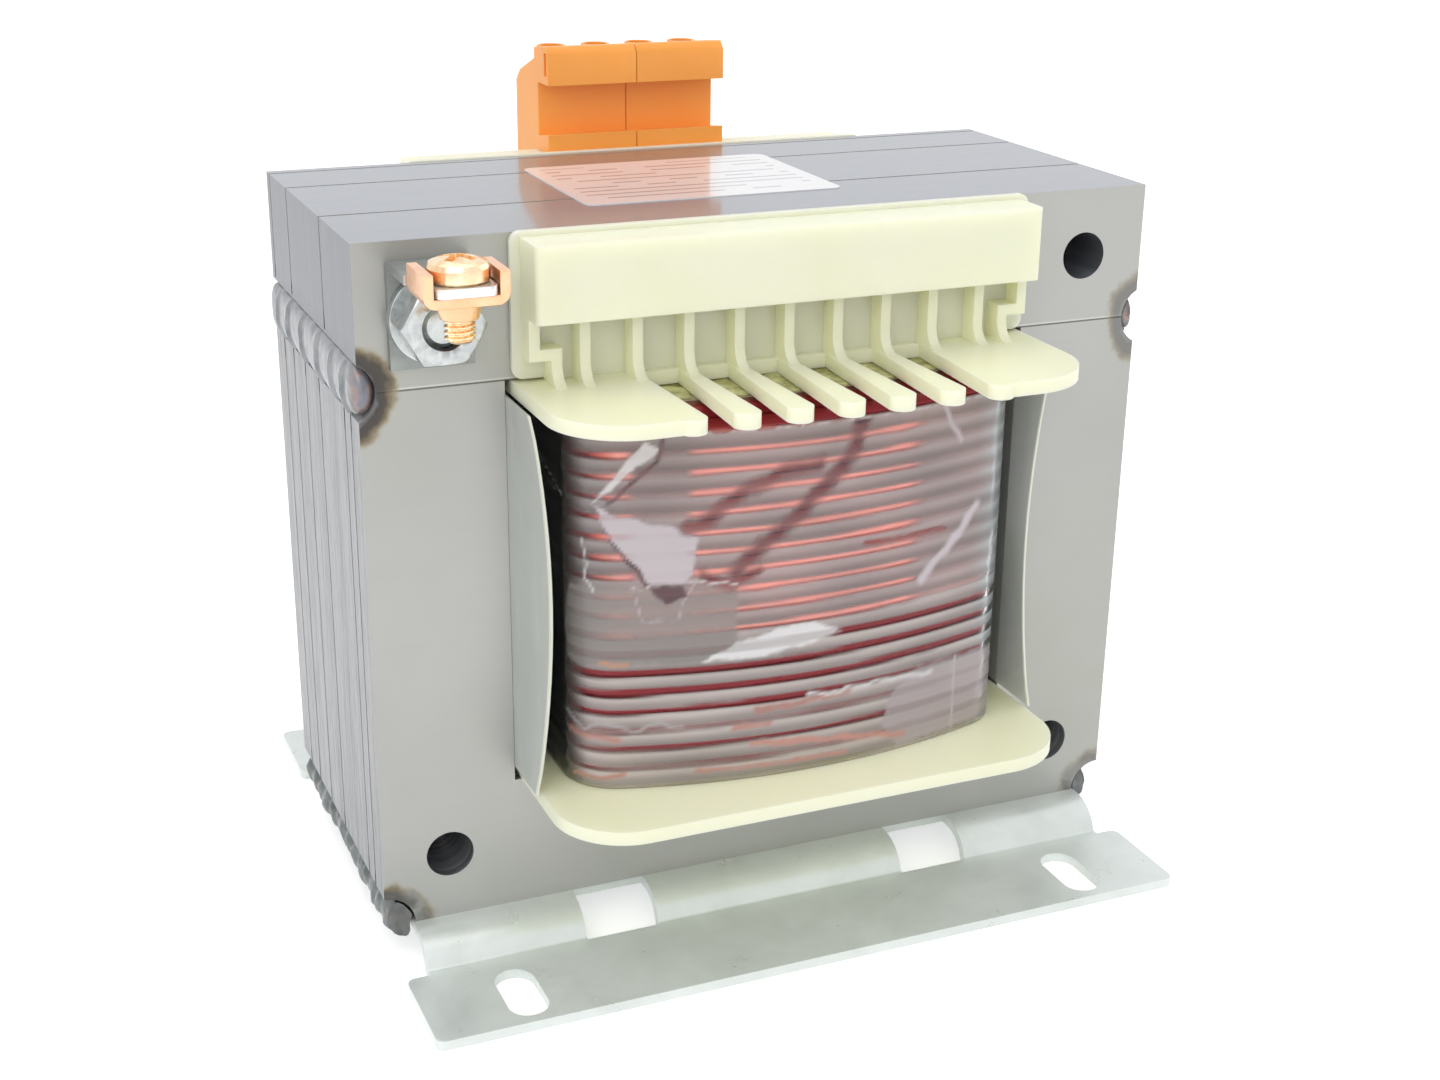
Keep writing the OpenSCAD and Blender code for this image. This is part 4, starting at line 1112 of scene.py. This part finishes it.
@dataclass
class FilmHazeAndLight:
    """How the film looks at each place: its haze, painted as the reflection where air lies under
    it, its painted glare, highlights and shade, and its folds.
    """

    reach: float = 38.0
    patches_and_light: tuple[FilmPatchAndLight, ...] = (
        FilmPatchAndLight(((-36.5, 58.8), (-12.3, 58.2), (-12.2, 47), (-37, 46.8), (-38, 52)),
               (0.39, 0.36, 0.34), 0.8, soft=0.4),
        FilmPatchAndLight(((12.5, 37.5), (17.5, 40.8), (24, 40.5), (39, 40), (39, 28.5), (14, 28.5),
                (11, 32.5)), (0.56, 0.49, 0.50), 0.84, soft=0.5),
        FilmPatchAndLight(((24.3, 40.5), (24.4, 28)), GLARE_WHITE, 0.7, 0.35, 0.2, 0.05),
        FilmPatchAndLight(((-32.2, 70), (-20.2, 66.5), (-17.7, 65.2), (-18.7, 59.8), (-20.2, 58.8),
                (-24.2, 58.8), (-27.7, 61.8)), LILAC_GLARE, 0.93, soft=0.25, push=0.08),
        FilmPatchAndLight(((-30.9, 66.8), (-27.7, 61.8), (-22.2, 55.8), (-19.2, 56.8), (-20.2, 58.4),
                (-24.2, 58.6)), SHADE, 0.8, soft=0.25, push=0.03),
        FilmPatchAndLight(((-32.4, 70.5), (-25.4, 79.4), (-23.2, 78.2)), GLARE_WHITE, 0.9, soft=0.2, push=0.05),
        FilmPatchAndLight(((-22.9, 79.5), (-23.6, 76.5), (-30.5, 70.6)), SHADE, 0.7, 0.5, 0.3),
        FilmPatchAndLight(((5.8, 80), (4.3, 74.8), (-3.7, 67.2), (-10.2, 62.2), (-12.7, 59.8)),
               SHADE, 0.6, 2.2, 0.9, 0.06),
        FilmPatchAndLight(((-0.7, 74.5), (-5.7, 73.8), (-12.2, 71.2), (-17.2, 67.2), (-19.2, 66.8)),
               SHADE, 0.55, 1.9, 0.9, 0.06),
        FilmPatchAndLight(((-17.2, 59.8), (-13.2, 57.8), (-9.2, 59.8)), SHADE, 0.5, 1.3, 0.6, 0.05),
        FilmPatchAndLight(((-9.7, 33.4), (3, 32.2), (14.8, 30.4)), PINK_HIGHLIGHT, 0.8, 0.9, 0.4),
        FilmPatchAndLight(((-9.2, 38.6), (5, 39.2)), PINK_HIGHLIGHT, 0.6, 0.8, 0.5),
        FilmPatchAndLight(((-37, 36.2), (-29, 35.6)), PINK_HIGHLIGHT, 0.7, 0.8, 0.5),
        FilmPatchAndLight(((-12.2, 36.4), (-7.2, 36.2)), PINK_HIGHLIGHT, 0.7, 0.7, 0.4),
        FilmPatchAndLight(((-17.7, 29.9), (4.8, 29.7)), PINK_HIGHLIGHT, 0.75, 0.5, 0.3),
        FilmPatchAndLight(((-36, 29.4), (-28, 30.0)), PINK_HIGHLIGHT, 0.7, 0.5, 0.3),
        FilmPatchAndLight(((-27.2, 58.4), (-17.7, 58.9), (-12.2, 58)), GLARE_WHITE, 0.75, 0.25, 0.15, 0.03),
        FilmPatchAndLight(((-26.9, 58.4), (-25.7, 53.8), (-25.2, 53.2), (-20.7, 53.5), (-19.2, 57.2),
                (-18.4, 58.7)), LILAC_GLARE, 0.75, 0.2, 0.15, 0.03),
        FilmPatchAndLight(((-17.7, 46.8), (-12.2, 49.2), (-6.2, 50.7), (-0.7, 51), (3.8, 49.2), (-0.2, 48),
                (-10.2, 46.5)), GLARE_WHITE, 0.97, soft=0.3, push=0.08),
        FilmPatchAndLight(((6.8, 61.5), (20.8, 61.5)), (0.25, 0.03, 0.03), 0.5, 0.5, 0.3),
        FilmPatchAndLight(((16.8, 54.2), (19.8, 56.8), (23.8, 60.2), (27, 63.8)), LILAC_GLARE, 0.95, 1.5, 0.5,
               0.08),
        FilmPatchAndLight(((19.8, 79.8), (23.3, 74)), LILAC_GLARE, 0.9, 0.7, 0.3, 0.05),
        FilmPatchAndLight(((-34.2, 65.2), (-33.2, 62), (-33.8, 60), (-32.7, 57.8)), GLARE_WHITE, 0.85, 0.35, 0.2,
               0.05),
        FilmPatchAndLight(((-50, 74.5), (-38.2, 70.8)), GLARE_WHITE, 0.85, 0.4, 0.25, 0.05),
        FilmPatchAndLight(((-49, 73), (-40, 70)), GLARE_WHITE, 0.7, 0.25, 0.2),
        FilmPatchAndLight(((-38, 39), (-34, 36.8), (-31, 38.4), (-27, 36.6), (-23, 38.2), (-20, 37)), GLARE_WHITE,
               0.6, 0.4, 0.35, 0.05),
        FilmPatchAndLight(((-1.2, 40), (3, 39.4), (10, 39.9), (19.8, 39)), GLARE_WHITE, 0.9, 0.7, 0.4, 0.05),
        FilmPatchAndLight(((-31.5, 47.2), (-27.8, 47.2)), (0.85, 0.42, 0.25), 0.8, 0.5, 0.3),
        FilmPatchAndLight(((-40, 80.2), (40, 80.2)), GLARE_WHITE, 0.75, 0.2, 0.15))

    def look(self, along: float, z: float, crown: float, lean: float,
             front: bool) -> tuple[float, float, float, float, float]:
        """Finds the film's look at one place, with its painted reflection, glare, highlights and
        shade.

        Args:
            along: mm along the film from the middle of its side of the coil.
            z: mm above the ground.
            crown: 1 where a turn stands nearest to the film, -1 between two turns.
            lean: 1 where the film faces up between turns, -1 where it faces down.
            front: Whether the place is on the front half.

        Returns:
            Red, green, blue, how much the film hides, and how far it is pushed in, in mm.
        """
        flip = along if front else -along
        u = flip + 0.45 * ripple(flip * 0.35, z * 0.35, 1.0)
        v = z + 0.45 * ripple(flip * 0.3, z * 0.4, 9.0) + 0.25 * ripple(flip * 0.9, z * 0.9, 4.0)
        flank = smooth_step(abs(flip), self.reach, self.reach - 5.0)
        upper = smooth_step(z, 49.0, 53.0)
        # The turns show where they touch; a painted reflection over the air under the film hides
        # them elsewhere, and towards the right and beside the fold
        shown = smooth_step(u, 17.5, 13.5) * (1.0 - smooth_step(u, -28, -26)
                                              * smooth_step(u, -18, -20))
        shown = 1.0 + upper * (0.12 + 0.88 * shown - 1.0)
        shown *= 1.0 - upper * (0.2 - 0.25 * ripple(u * 0.12, z * 0.5, 6.0))
        thick = smooth_step(z, 38.0, 43.0) * (1.0 - upper)
        narrow = 0.62 * upper + (0.52 - 0.26 * thick) * (1.0 - upper)
        narrow += 0.15 * ripple(u * 0.2, z * 0.2, 8.0)
        faint = smooth_step(z, 39.5, 38.0) * smooth_step(abs(z - 35.2), 0.8, 1.8)
        shown *= 1.0 - faint * (0.45 - 0.55 * ripple(u * 0.09, z * 0.4, 12.0))
        touch = smooth_step(crown, narrow - 0.22, narrow + 0.12) * max(0.0, shown)
        drift = 0.5 + 0.5 * ripple(u * 0.08, z * 0.16, 2.0)
        cover = flank * (0.88 - 0.14 * drift - 0.82 * touch) + (1.0 - flank) * 0.55
        # Painted light towards the right side
        right_light = smooth_step(u, 26.0, 31.0) * flank
        # Random drift in tone, and painted shade: lighter where the film faces up between turns,
        # darker where it faces down and towards the upper left
        shade = (0.75 + 0.5 * drift) * (1.0 + 0.3 * lean)
        shade *= 1.0 - 0.15 * upper * smooth_step(u, -12.0, -26.0)
        colour = scaled(blended(blended(DUSK_REFLECTION, GREY_BROWN_REFLECTION, upper), RIGHT_PAINTED_LIGHT, right_light), shade)
        # Painted shade on the left flank
        if flip < 0:
            colour = blended(colour, FLANK_SHADE, 1.0 - flank)
        push = 0.0
        strength = 1.0 if front else 0.6
        # Each patch lays its painted glare, highlight or shade and its cover, and may push the
        # film in
        for fold in self.patches_and_light:
            share = fold.share((u, v)) * strength
            if share > 0.0:
                colour = blended(colour, fold.colour, share)
                kept = 1.0 - 0.25 * touch if fold.width == 0.0 else 1.0
                cover += (fold.cover * kept - cover) * share
                push += fold.push * share
        return (*colour, min(0.98, max(0.0, cover)), min(0.12, push))


@dataclass
class CoilPlan:
    """The coil's outline: straight sides, round corners and a bulging front and rear."""

    half_width: float
    half_depth: float
    corner_r: float = 0.0083
    bulge_deg: float = 17.0
    stations: list[tuple[Vector, Vector]] = field(default_factory=list)

    def sample(self, step: float, front_step: float = 0.0) -> "CoilPlan":
        """Walks round the outline, counter-clockwise from the middle of the right side.

        Args:
            step: Distance between points, about.
            front_step: A finer distance for the front, where one is wanted.

        Returns:
            Itself, with its points and outward normals.
        """
        lean = math.radians(self.bulge_deg)
        corner_x = self.half_width - self.corner_r
        reach = corner_x / math.sin(lean)
        bulge_r = self.corner_r + reach
        centre = bulge_r - self.half_depth
        corner_y = reach * math.cos(lean) - centre
        turn = math.pi / 2
        straight = max(2, round(2 * corner_y / step))
        # The rear half, then the front half, which is the rear one turned round
        for flip, close in ((1.0, step), (-1.0, front_step or step)):
            for x, y, radius, start, end in (
                    (corner_x, corner_y, self.corner_r, 0.0, turn - lean),
                    (0.0, -centre, bulge_r, turn - lean, turn + lean),
                    (-corner_x, corner_y, self.corner_r, turn + lean, 2 * turn)):
                count = max(2, round(radius * (end - start) / close))
                for i in range(count):
                    angle = start + (end - start) * i / count
                    normal = Vector((math.cos(angle), math.sin(angle), 0.0))
                    self.stations.append((flip * (Vector((x, y, 0.0)) + radius * normal),
                                          flip * normal))
            for i in range(straight):
                y = corner_y - 2 * corner_y * i / straight
                self.stations.append((flip * Vector((-self.half_width, y, 0.0)),
                                      Vector((-flip, 0.0, 0.0))))
        return self

    def walk(self) -> list[float]:
        """Measures the outline.

        Returns:
            The distance along it to each point, and to the first again.
        """
        lengths = [0.0]
        for index, (point, _) in enumerate(self.stations):
            after = self.stations[(index + 1) % len(self.stations)][0]
            lengths.append(lengths[-1] + (after - point).length)
        return lengths


@dataclass
class Coil(Assembly):
    """The wound coil: its thick outer turns, end tape and clear film."""

    looks: tuple[Look, ...] = (("primary_winding", Finish.WIRE, 0.0),
                               ("interwinding_insulation", Finish.PAPER, 0.0),
                               ("primary_leads", Finish.SLEEVE, 0.0),
                               ("secondary_leads", Finish.WIRE, 0.0))
    wire_mm: float = 2.8
    turns: int = 19
    section: int = 10
    # In metres: steps of the outlines and the film, depths of the inner layer, and half the
    # tube's width and depth
    wire_step: float = 0.0024
    film_step: float = 0.0016
    fine_step: float = 0.0004
    tape_step: float = 0.0012
    film_thick: float = 0.00005
    inner: Point = (0.0022, 0.0056)
    tube: Point = (0.02175, 0.02825)
    tape_rows: int = 12

    def build(self) -> None:
        """Dresses what lies inside, winds the coil and wraps it."""
        super().build()
        low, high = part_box("secondary_winding")
        self.low_z, self.high_z = low.z, high.z
        self.pitch = (self.high_z - self.low_z) / self.turns
        self.wind(CoilPlan(high.x, high.y).sample(self.wire_step))
        self.wrap()
        self.tape()

    def wind(self, outline: CoilPlan) -> None:
        """Winds the outer layer as one helix over a plain inner layer.

        Args:
            outline: The coil's outline.
        """
        walk = outline.walk()
        radius = 0.5 * self.wire_mm * MM
        angles = [2 * math.pi * k / self.section for k in range(self.section)]
        plan = MeshPlan()
        rings = []
        for loop in range(self.turns - 1):
            for (point, normal), far in zip(outline.stations, walk):
                share = loop + far / walk[-1]
                z = self.low_z + self.pitch * (share + 0.5)
                z += 0.00016 * ripple(share * 2.3, 3.0) + 0.00010 * ripple(point.x * 60, share)
                inset = radius + 0.00008 * (1 + ripple(point.y * 90, share * 1.7, 5.0))
                centre = point - normal * inset
                rings.append([Vector((centre.x + normal.x * radius * math.cos(a),
                                      centre.y + normal.y * radius * math.cos(a),
                                      z + 0.985 * radius * math.sin(a)))
                              for a in angles])
        plan.sweep(rings)
        bottom, top = self.low_z + 0.0002, self.high_z - 0.0001
        near, deep = self.inner
        band = [Vector(((p - n * depth).x, (p - n * depth).y, z))
                for depth, z in ((near, bottom), (near, top), (deep, top), (deep, bottom))
                for p, n in outline.stations]
        plan.add(band, ring_faces(4, len(outline.stations), True))
        piece = plan.build("coil_turns")
        # Painted light on the turns: a highlight on the upper turns below the top one, cut to a
        # tenth on the flanks as painted shade
        paint(piece, "enamel_painted_light", [(smooth_step(v.z, 0.0475, 0.053)
                                 * smooth_step(v.z, 0.0812, 0.0795)
                                 * (0.1 + 0.9 * smooth_step(abs(v.y), 0.036, 0.0385)),) * 3
                                + (1.0,) for v in plan.vertices])
        self.shop.fit(piece, Finish.WIRE, "secondary_winding")

    def wrap(self) -> None:
        """Wraps the film, which touches the crown of each turn and hangs off them between."""
        low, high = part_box("film_wrap")
        room = self.film_thick + 0.00001
        plan = CoilPlan(high.x - room, high.y - room).sample(self.film_step, self.fine_step)
        walk = plan.walk()
        total = walk[-1]
        front_far, rear_far = (
            min((abs(point.x) + abs(point.y - side * high.y), far)
                for (point, _), far in zip(plan.stations, walk))[1] for side in (-1.0, 1.0))
        rows = round((high.z - low.z) / self.fine_step)
        haze_and_light = FilmHazeAndLight()
        vertices = []
        colours = []
        for r in range(rows + 1):
            z = low.z + (high.z - low.z) * r / rows
            for (point, normal), far in zip(plan.stations, walk):
                front = point.y < 0
                along = far - (front_far if front else rear_far)
                along = ((along + total / 2) % total - total / 2) / MM
                phase = (z - self.low_z) / self.pitch - far / total
                crown = -math.cos(2 * math.pi * phase)
                lean = math.sin(2 * math.pi * phase)
                # The haze colours are painted light: reflection, glare, highlights and shade
                red, green, blue, cover, push = haze_and_light.look(along, z / MM, crown, lean, front)
                loose = 0.5 + 0.5 * ripple(point.x * 38, point.y * 38, z * 38)
                inset = 0.05 * (0.5 - 0.5 * crown) + 0.05 * loose + push
                vertices.append((*(point - normal * inset * MM).xy, z))
                colours.append((red, green, blue, 1.0 - math.sqrt(1.0 - cover)))
        piece = new_object("coil_film", vertices, ring_faces(rows + 1, len(plan.stations)))
        paint(piece, "haze_painted_light", colours)
        modify(piece, "SOLIDIFY", thickness=self.film_thick, offset=-1.0)
        self.shop.fit(piece, Finish.FILM, "film_wrap")

    def tape(self) -> None:
        """Lays the crumpled tape over the inner windings' end."""
        low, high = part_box("end_tape")
        tube_x, tube_y = self.tube
        outline = CoilPlan(high.x, high.y, 0.0027).sample(self.tape_step)
        spokes = []
        for point, _ in outline.stations:
            inner = Vector((max(-tube_x, min(tube_x, point.x)),
                            max(-tube_y, min(tube_y, point.y)), 0))
            spokes.append([inner.lerp(point, k / self.tape_rows)
                           for k in range(self.tape_rows + 1)])
        count = len(spokes)
        upper, lower = [], []
        for p in (spoke[k] for k in range(self.tape_rows + 1) for spoke in spokes):
            lift = 0.00038 * abs(ripple(p.x * 330, p.y * 330, 2.0))
            lift += 0.0002 * abs(ripple(p.x * 900, p.y * 900, 4.0))
            upper.append((p.x, p.y, high.z + min(lift - 0.0003, 0.0001)))
            lower.append((p.x, p.y, low.z))
        faces = ring_faces(self.tape_rows + 1, count)
        base = (self.tape_rows + 1) * count
        faces += [[base + i for i in face[::-1]] for face in faces]
        for row in (0, self.tape_rows):
            for c in range(count):
                a, b = row * count + c, row * count + (c + 1) % count
                quad = [a, b, base + b, base + a]
                faces.append(quad if row else quad[::-1])
        plan = MeshPlan()
        plan.add(upper + lower, faces)
        self.shop.fit(plan.build("end_tape_folds", 60), Finish.TAPE, "end_tape")


@dataclass
class Earth(Assembly):
    """The earth terminal at the front."""

    looks: tuple[Look, ...] = (("earth_bracket", Finish.PLATE, 0.12),
                               ("earth_washer", Finish.SCREW, 0.1),
                               ("earth_nut", Finish.SCREW, 0.1),
                               ("earth_clamp", Finish.COPPER, 0.15))
    bolt_r_mm: float = 3.0
    bolt_head_mm: float = 4.0
    bolt_pitch_mm: float = 1.0
    bolt_groove_mm: float = 0.55
    bolt_thread_mm: Point = (0.4, 12.0)
    clamp_r_mm: float = 2.0
    clamp_pitch_mm: float = 0.7
    clamp_groove_mm: float = 0.42
    clamp_thread_from_mm: float = 0.2
    head_mm: float = 3.2
    recess_arm_mm: float = 0.62
    recess_deep_mm: float = 1.4
    recess_reach: float = 0.58
    dome_r_mm: float = 9.0

    def build(self) -> None:
        """Dresses the bracket, washer, nut and clamp, and makes the threaded pieces."""
        super().build()
        self.bolt()
        self.clamp_screw()

    def bolt(self) -> None:
        """Makes the earth bolt with its thread and its hexagon head."""
        low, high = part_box("earth_bolt")
        axis = Vector((0.0, 1.0, 0.0))
        middle = 0.5 * (low + high)
        tip = Vector((middle.x, low.y, middle.z))
        under_head = (high.y - low.y) / MM - self.bolt_head_mm
        r = self.bolt_r_mm
        outline = [(0.0, 0.0), (0.0, 0.62 * r), (0.02, 0.74 * r), (0.62, r)]
        outline += [(0.62 + 0.08 * k, r) for k in range(1, 150)]
        outline += [(under_head + 1.0, r), (under_head + 1.0, 0.0)]
        plan = MeshPlan()
        plan.lathe(tip, axis, outline, 48, self.bolt_pitch_mm, self.bolt_groove_mm,
                   self.bolt_thread_mm)
        corner = (high.x - low.x) / 2
        rings = []
        for height, reach in ((under_head, 0.93), (under_head + 0.25, 1.0),
                              (under_head + self.bolt_head_mm - 0.6, 1.0),
                              (under_head + self.bolt_head_mm, 0.88)):
            rings.append([tip + axis * height * MM + corner * reach * Vector(
                (math.cos(k * math.pi / 3), 0.0, -math.sin(k * math.pi / 3))) for k in range(6)])
        plan.sweep(rings)
        self.shop.fit(plan.build("earth_bolt_threaded", 35), Finish.SCREW, "earth_bolt")

    def clamp_screw(self) -> None:
        """Makes the clamp screw with its thread and cross recess."""
        low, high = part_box("clamp_screw")
        middle = 0.5 * (low + high)
        foot = Vector((middle.x, middle.y, low.z))
        up = Vector((0.0, 0.0, 1.0))
        head_r = 0.5 * (high.x - low.x) / MM
        seat = (high.z - low.z) / MM - self.head_mm
        r = self.clamp_r_mm
        outline = [(0.0, 0.0), (0.0, 0.7 * r), (0.35, 0.95 * r)]
        outline += [(0.35 + 0.06 * k, r) for k in range(1, round((seat - 0.4) / 0.06))]
        outline += [(seat + 0.5, r), (seat + 0.5, 0.0)]
        plan = MeshPlan()
        plan.lathe(foot, up, outline, 40, self.clamp_pitch_mm, self.clamp_groove_mm,
                   (self.clamp_thread_from_mm, seat))
        self.cross_head(plan, foot + up * seat * MM, head_r)
        piece = plan.build("clamp_screw_threaded", 38)
        self.shop.fit(piece, Finish.COPPER, "clamp_screw")
        self.shop.dress(piece, Finish.GILT)

    def cross_head(self, plan: MeshPlan, seat: Vector, head_r: float) -> None:
        """Adds a domed head with a cross recess.

        Args:
            plan: Where the head goes.
            seat: Middle of its underside.
            head_r: Its radius in mm.
        """
        arm, reach, dome_r = self.recess_arm_mm, self.recess_reach * head_r, self.dome_r_mm
        sink, far = self.head_mm - dome_r, math.pi / 2
        profile = [(0.0, 0.01, False), (0.0, head_r - 0.35, False), (0.3, head_r, False),
                   (1.7, head_r, False), (2.0, head_r - 0.08, False)]
        profile += [(sink + math.sqrt(dome_r ** 2 - radius ** 2), radius, radius < reach)
                    for radius in (head_r - 0.3, head_r - 0.7, 0.5 * (head_r + reach),
                                   reach + 0.06, reach - 0.1, 0.8 * reach, 0.6 * reach,
                                   arm * 1.5, arm * 0.8, 0.02)]
        rings = []
        for height, radius, cut in profile:
            edge = math.asin(min(0.68, arm / max(radius, arm)))
            inner = 0.8 * edge
            slant = 0.5 * (far / 2 - edge)
            ring = []
            for quarter in range(4):
                base = far / 2 + quarter * far
                for angle, deep in ((0.0, True), (inner, True), (edge, False),
                                    (far / 2 - slant, False), (far / 2, False),
                                    (far / 2 + slant, False), (far - edge, False),
                                    (far - inner, True)):
                    drop = self.recess_deep_mm if cut and (deep or radius < arm * 1.2) else 0.0
                    drop *= smooth_step(radius, reach + 0.9, reach - 0.5)
                    ring.append(seat + Vector((radius * math.cos(base + angle),
                                               radius * math.sin(base + angle),
                                               height - drop)) * MM)
            rings.append(ring)
        plan.sweep(rings)


# Stage


@dataclass
class Studio:
    """The floor, the lamps, the world and the camera.

    Each lamp has a name, a place, the height that it aims at, its width and depth, and its power.
    """

    lens_mm: float = 50.77
    azimuth_deg: float = 23.3
    drop_deg: float = 20.71
    roll_deg: float = 0.75
    eye: tuple[float, float, float] = (-0.1169, -0.2788, 0.16235)
    floor_half: float = 3.0
    floor_glow: float = 0.45
    surround: float = 0.7
    lamps: tuple[tuple[str, Colour, float, Point, float], ...] = (
        ("overhead", (-0.1, 0.05, 0.9), 0.06, (1.2, 1.0), 2.9),
        ("front", (-0.52, -0.80, 0.62), 0.06, (1.1, 0.7), 3.4),
        ("right", (0.95, 0.1, 0.32), 0.05, (0.9, 0.7), 1.4))

    def build(self) -> None:
        """Sets the stage."""
        self.place_camera()
        self.lay_floor()
        self.fill_world()
        for lamp in self.lamps:
            self.hang(*lamp)

    def place_camera(self) -> None:
        """Places the camera."""
        data = configured(bpy.data.cameras.new("view"), lens=self.lens_mm, sensor_width=36.0,
                          clip_start=0.01)
        camera = bpy.data.objects.new("view", data)
        turns = ((-self.azimuth_deg, "Z"), (90.0 - self.drop_deg, "X"), (self.roll_deg, "Z"))
        pose = Matrix.Translation(self.eye)
        for degrees, axis in turns:
            pose = pose @ Matrix.Rotation(math.radians(degrees), 4, axis)
        camera.matrix_world = pose
        show(camera)
        bpy.context.scene.camera = camera
        bpy.context.scene.view_settings.view_transform = "Standard"

    def lay_floor(self) -> None:
        """Lays a pale floor that keeps the shadow."""
        size = self.floor_half
        floor = new_object("floor", [(-size, -size, 0), (size, -size, 0), (size, size, 0),
                                     (-size, size, 0)], [[0, 1, 2, 3]], False)
        material = bpy.data.materials.new("floor")
        t = Tree(material)
        t.set(Base_Color=(0.93, 0.93, 0.93), Roughness=0.7, Specular_IOR_Level=0.2)
        glow = t.join("ShaderNodeEmission", None, self.floor_glow)
        plain = t.shader.outputs[0]
        lit = t.join("ShaderNodeAddShader", plain, glow)
        t.finish(t.join("ShaderNodeMixShader", t.seen(), plain, lit))
        floor.data.materials.append(material)

    def fill_world(self) -> None:
        """Surrounds the stage with white that lights it only a little."""
        world = bpy.data.worlds.new("surround")
        t = Tree(world, "Background")
        t.set(Color=(0.97, 0.98, 1.0), Strength=t.span(t.seen(), 0.0, 1.0, self.surround, 1.0))
        bpy.context.scene.world = world

    def hang(self, name: str, place: Colour, aim_z: float, size: Point, power: float) -> None:
        """Hangs a soft lamp.

        Args:
            name: Its name.
            place: Its place.
            aim_z: Height over the origin that it faces.
            size: Its width and depth.
            power: Its power.
        """
        data = configured(bpy.data.lights.new(name, "AREA"), shape="RECTANGLE", size=size[0],
                          size_y=size[1], energy=power)
        lamp = bpy.data.objects.new(name, data)
        lamp.location = place
        aim = Vector((0.0, 0.0, aim_z)) - Vector(place)
        lamp.rotation_euler = aim.to_track_quat("-Z", "Y").to_euler()
        show(lamp)


def main() -> None:
    """Builds everything in order."""
    logging.basicConfig(level=logging.INFO, format="%(name)s: %(message)s")
    Studio().build()
    shop = Paintshop()
    for assembly in (Core(shop), Feet(shop), Bobbin(shop), Coil(shop), Sheets(shop),
                     Terminals(shop), Earth(shop), Label(shop)):
        assembly.build()
        log.info("%s done", type(assembly).__name__)


if __name__ == "__main__":
    main()
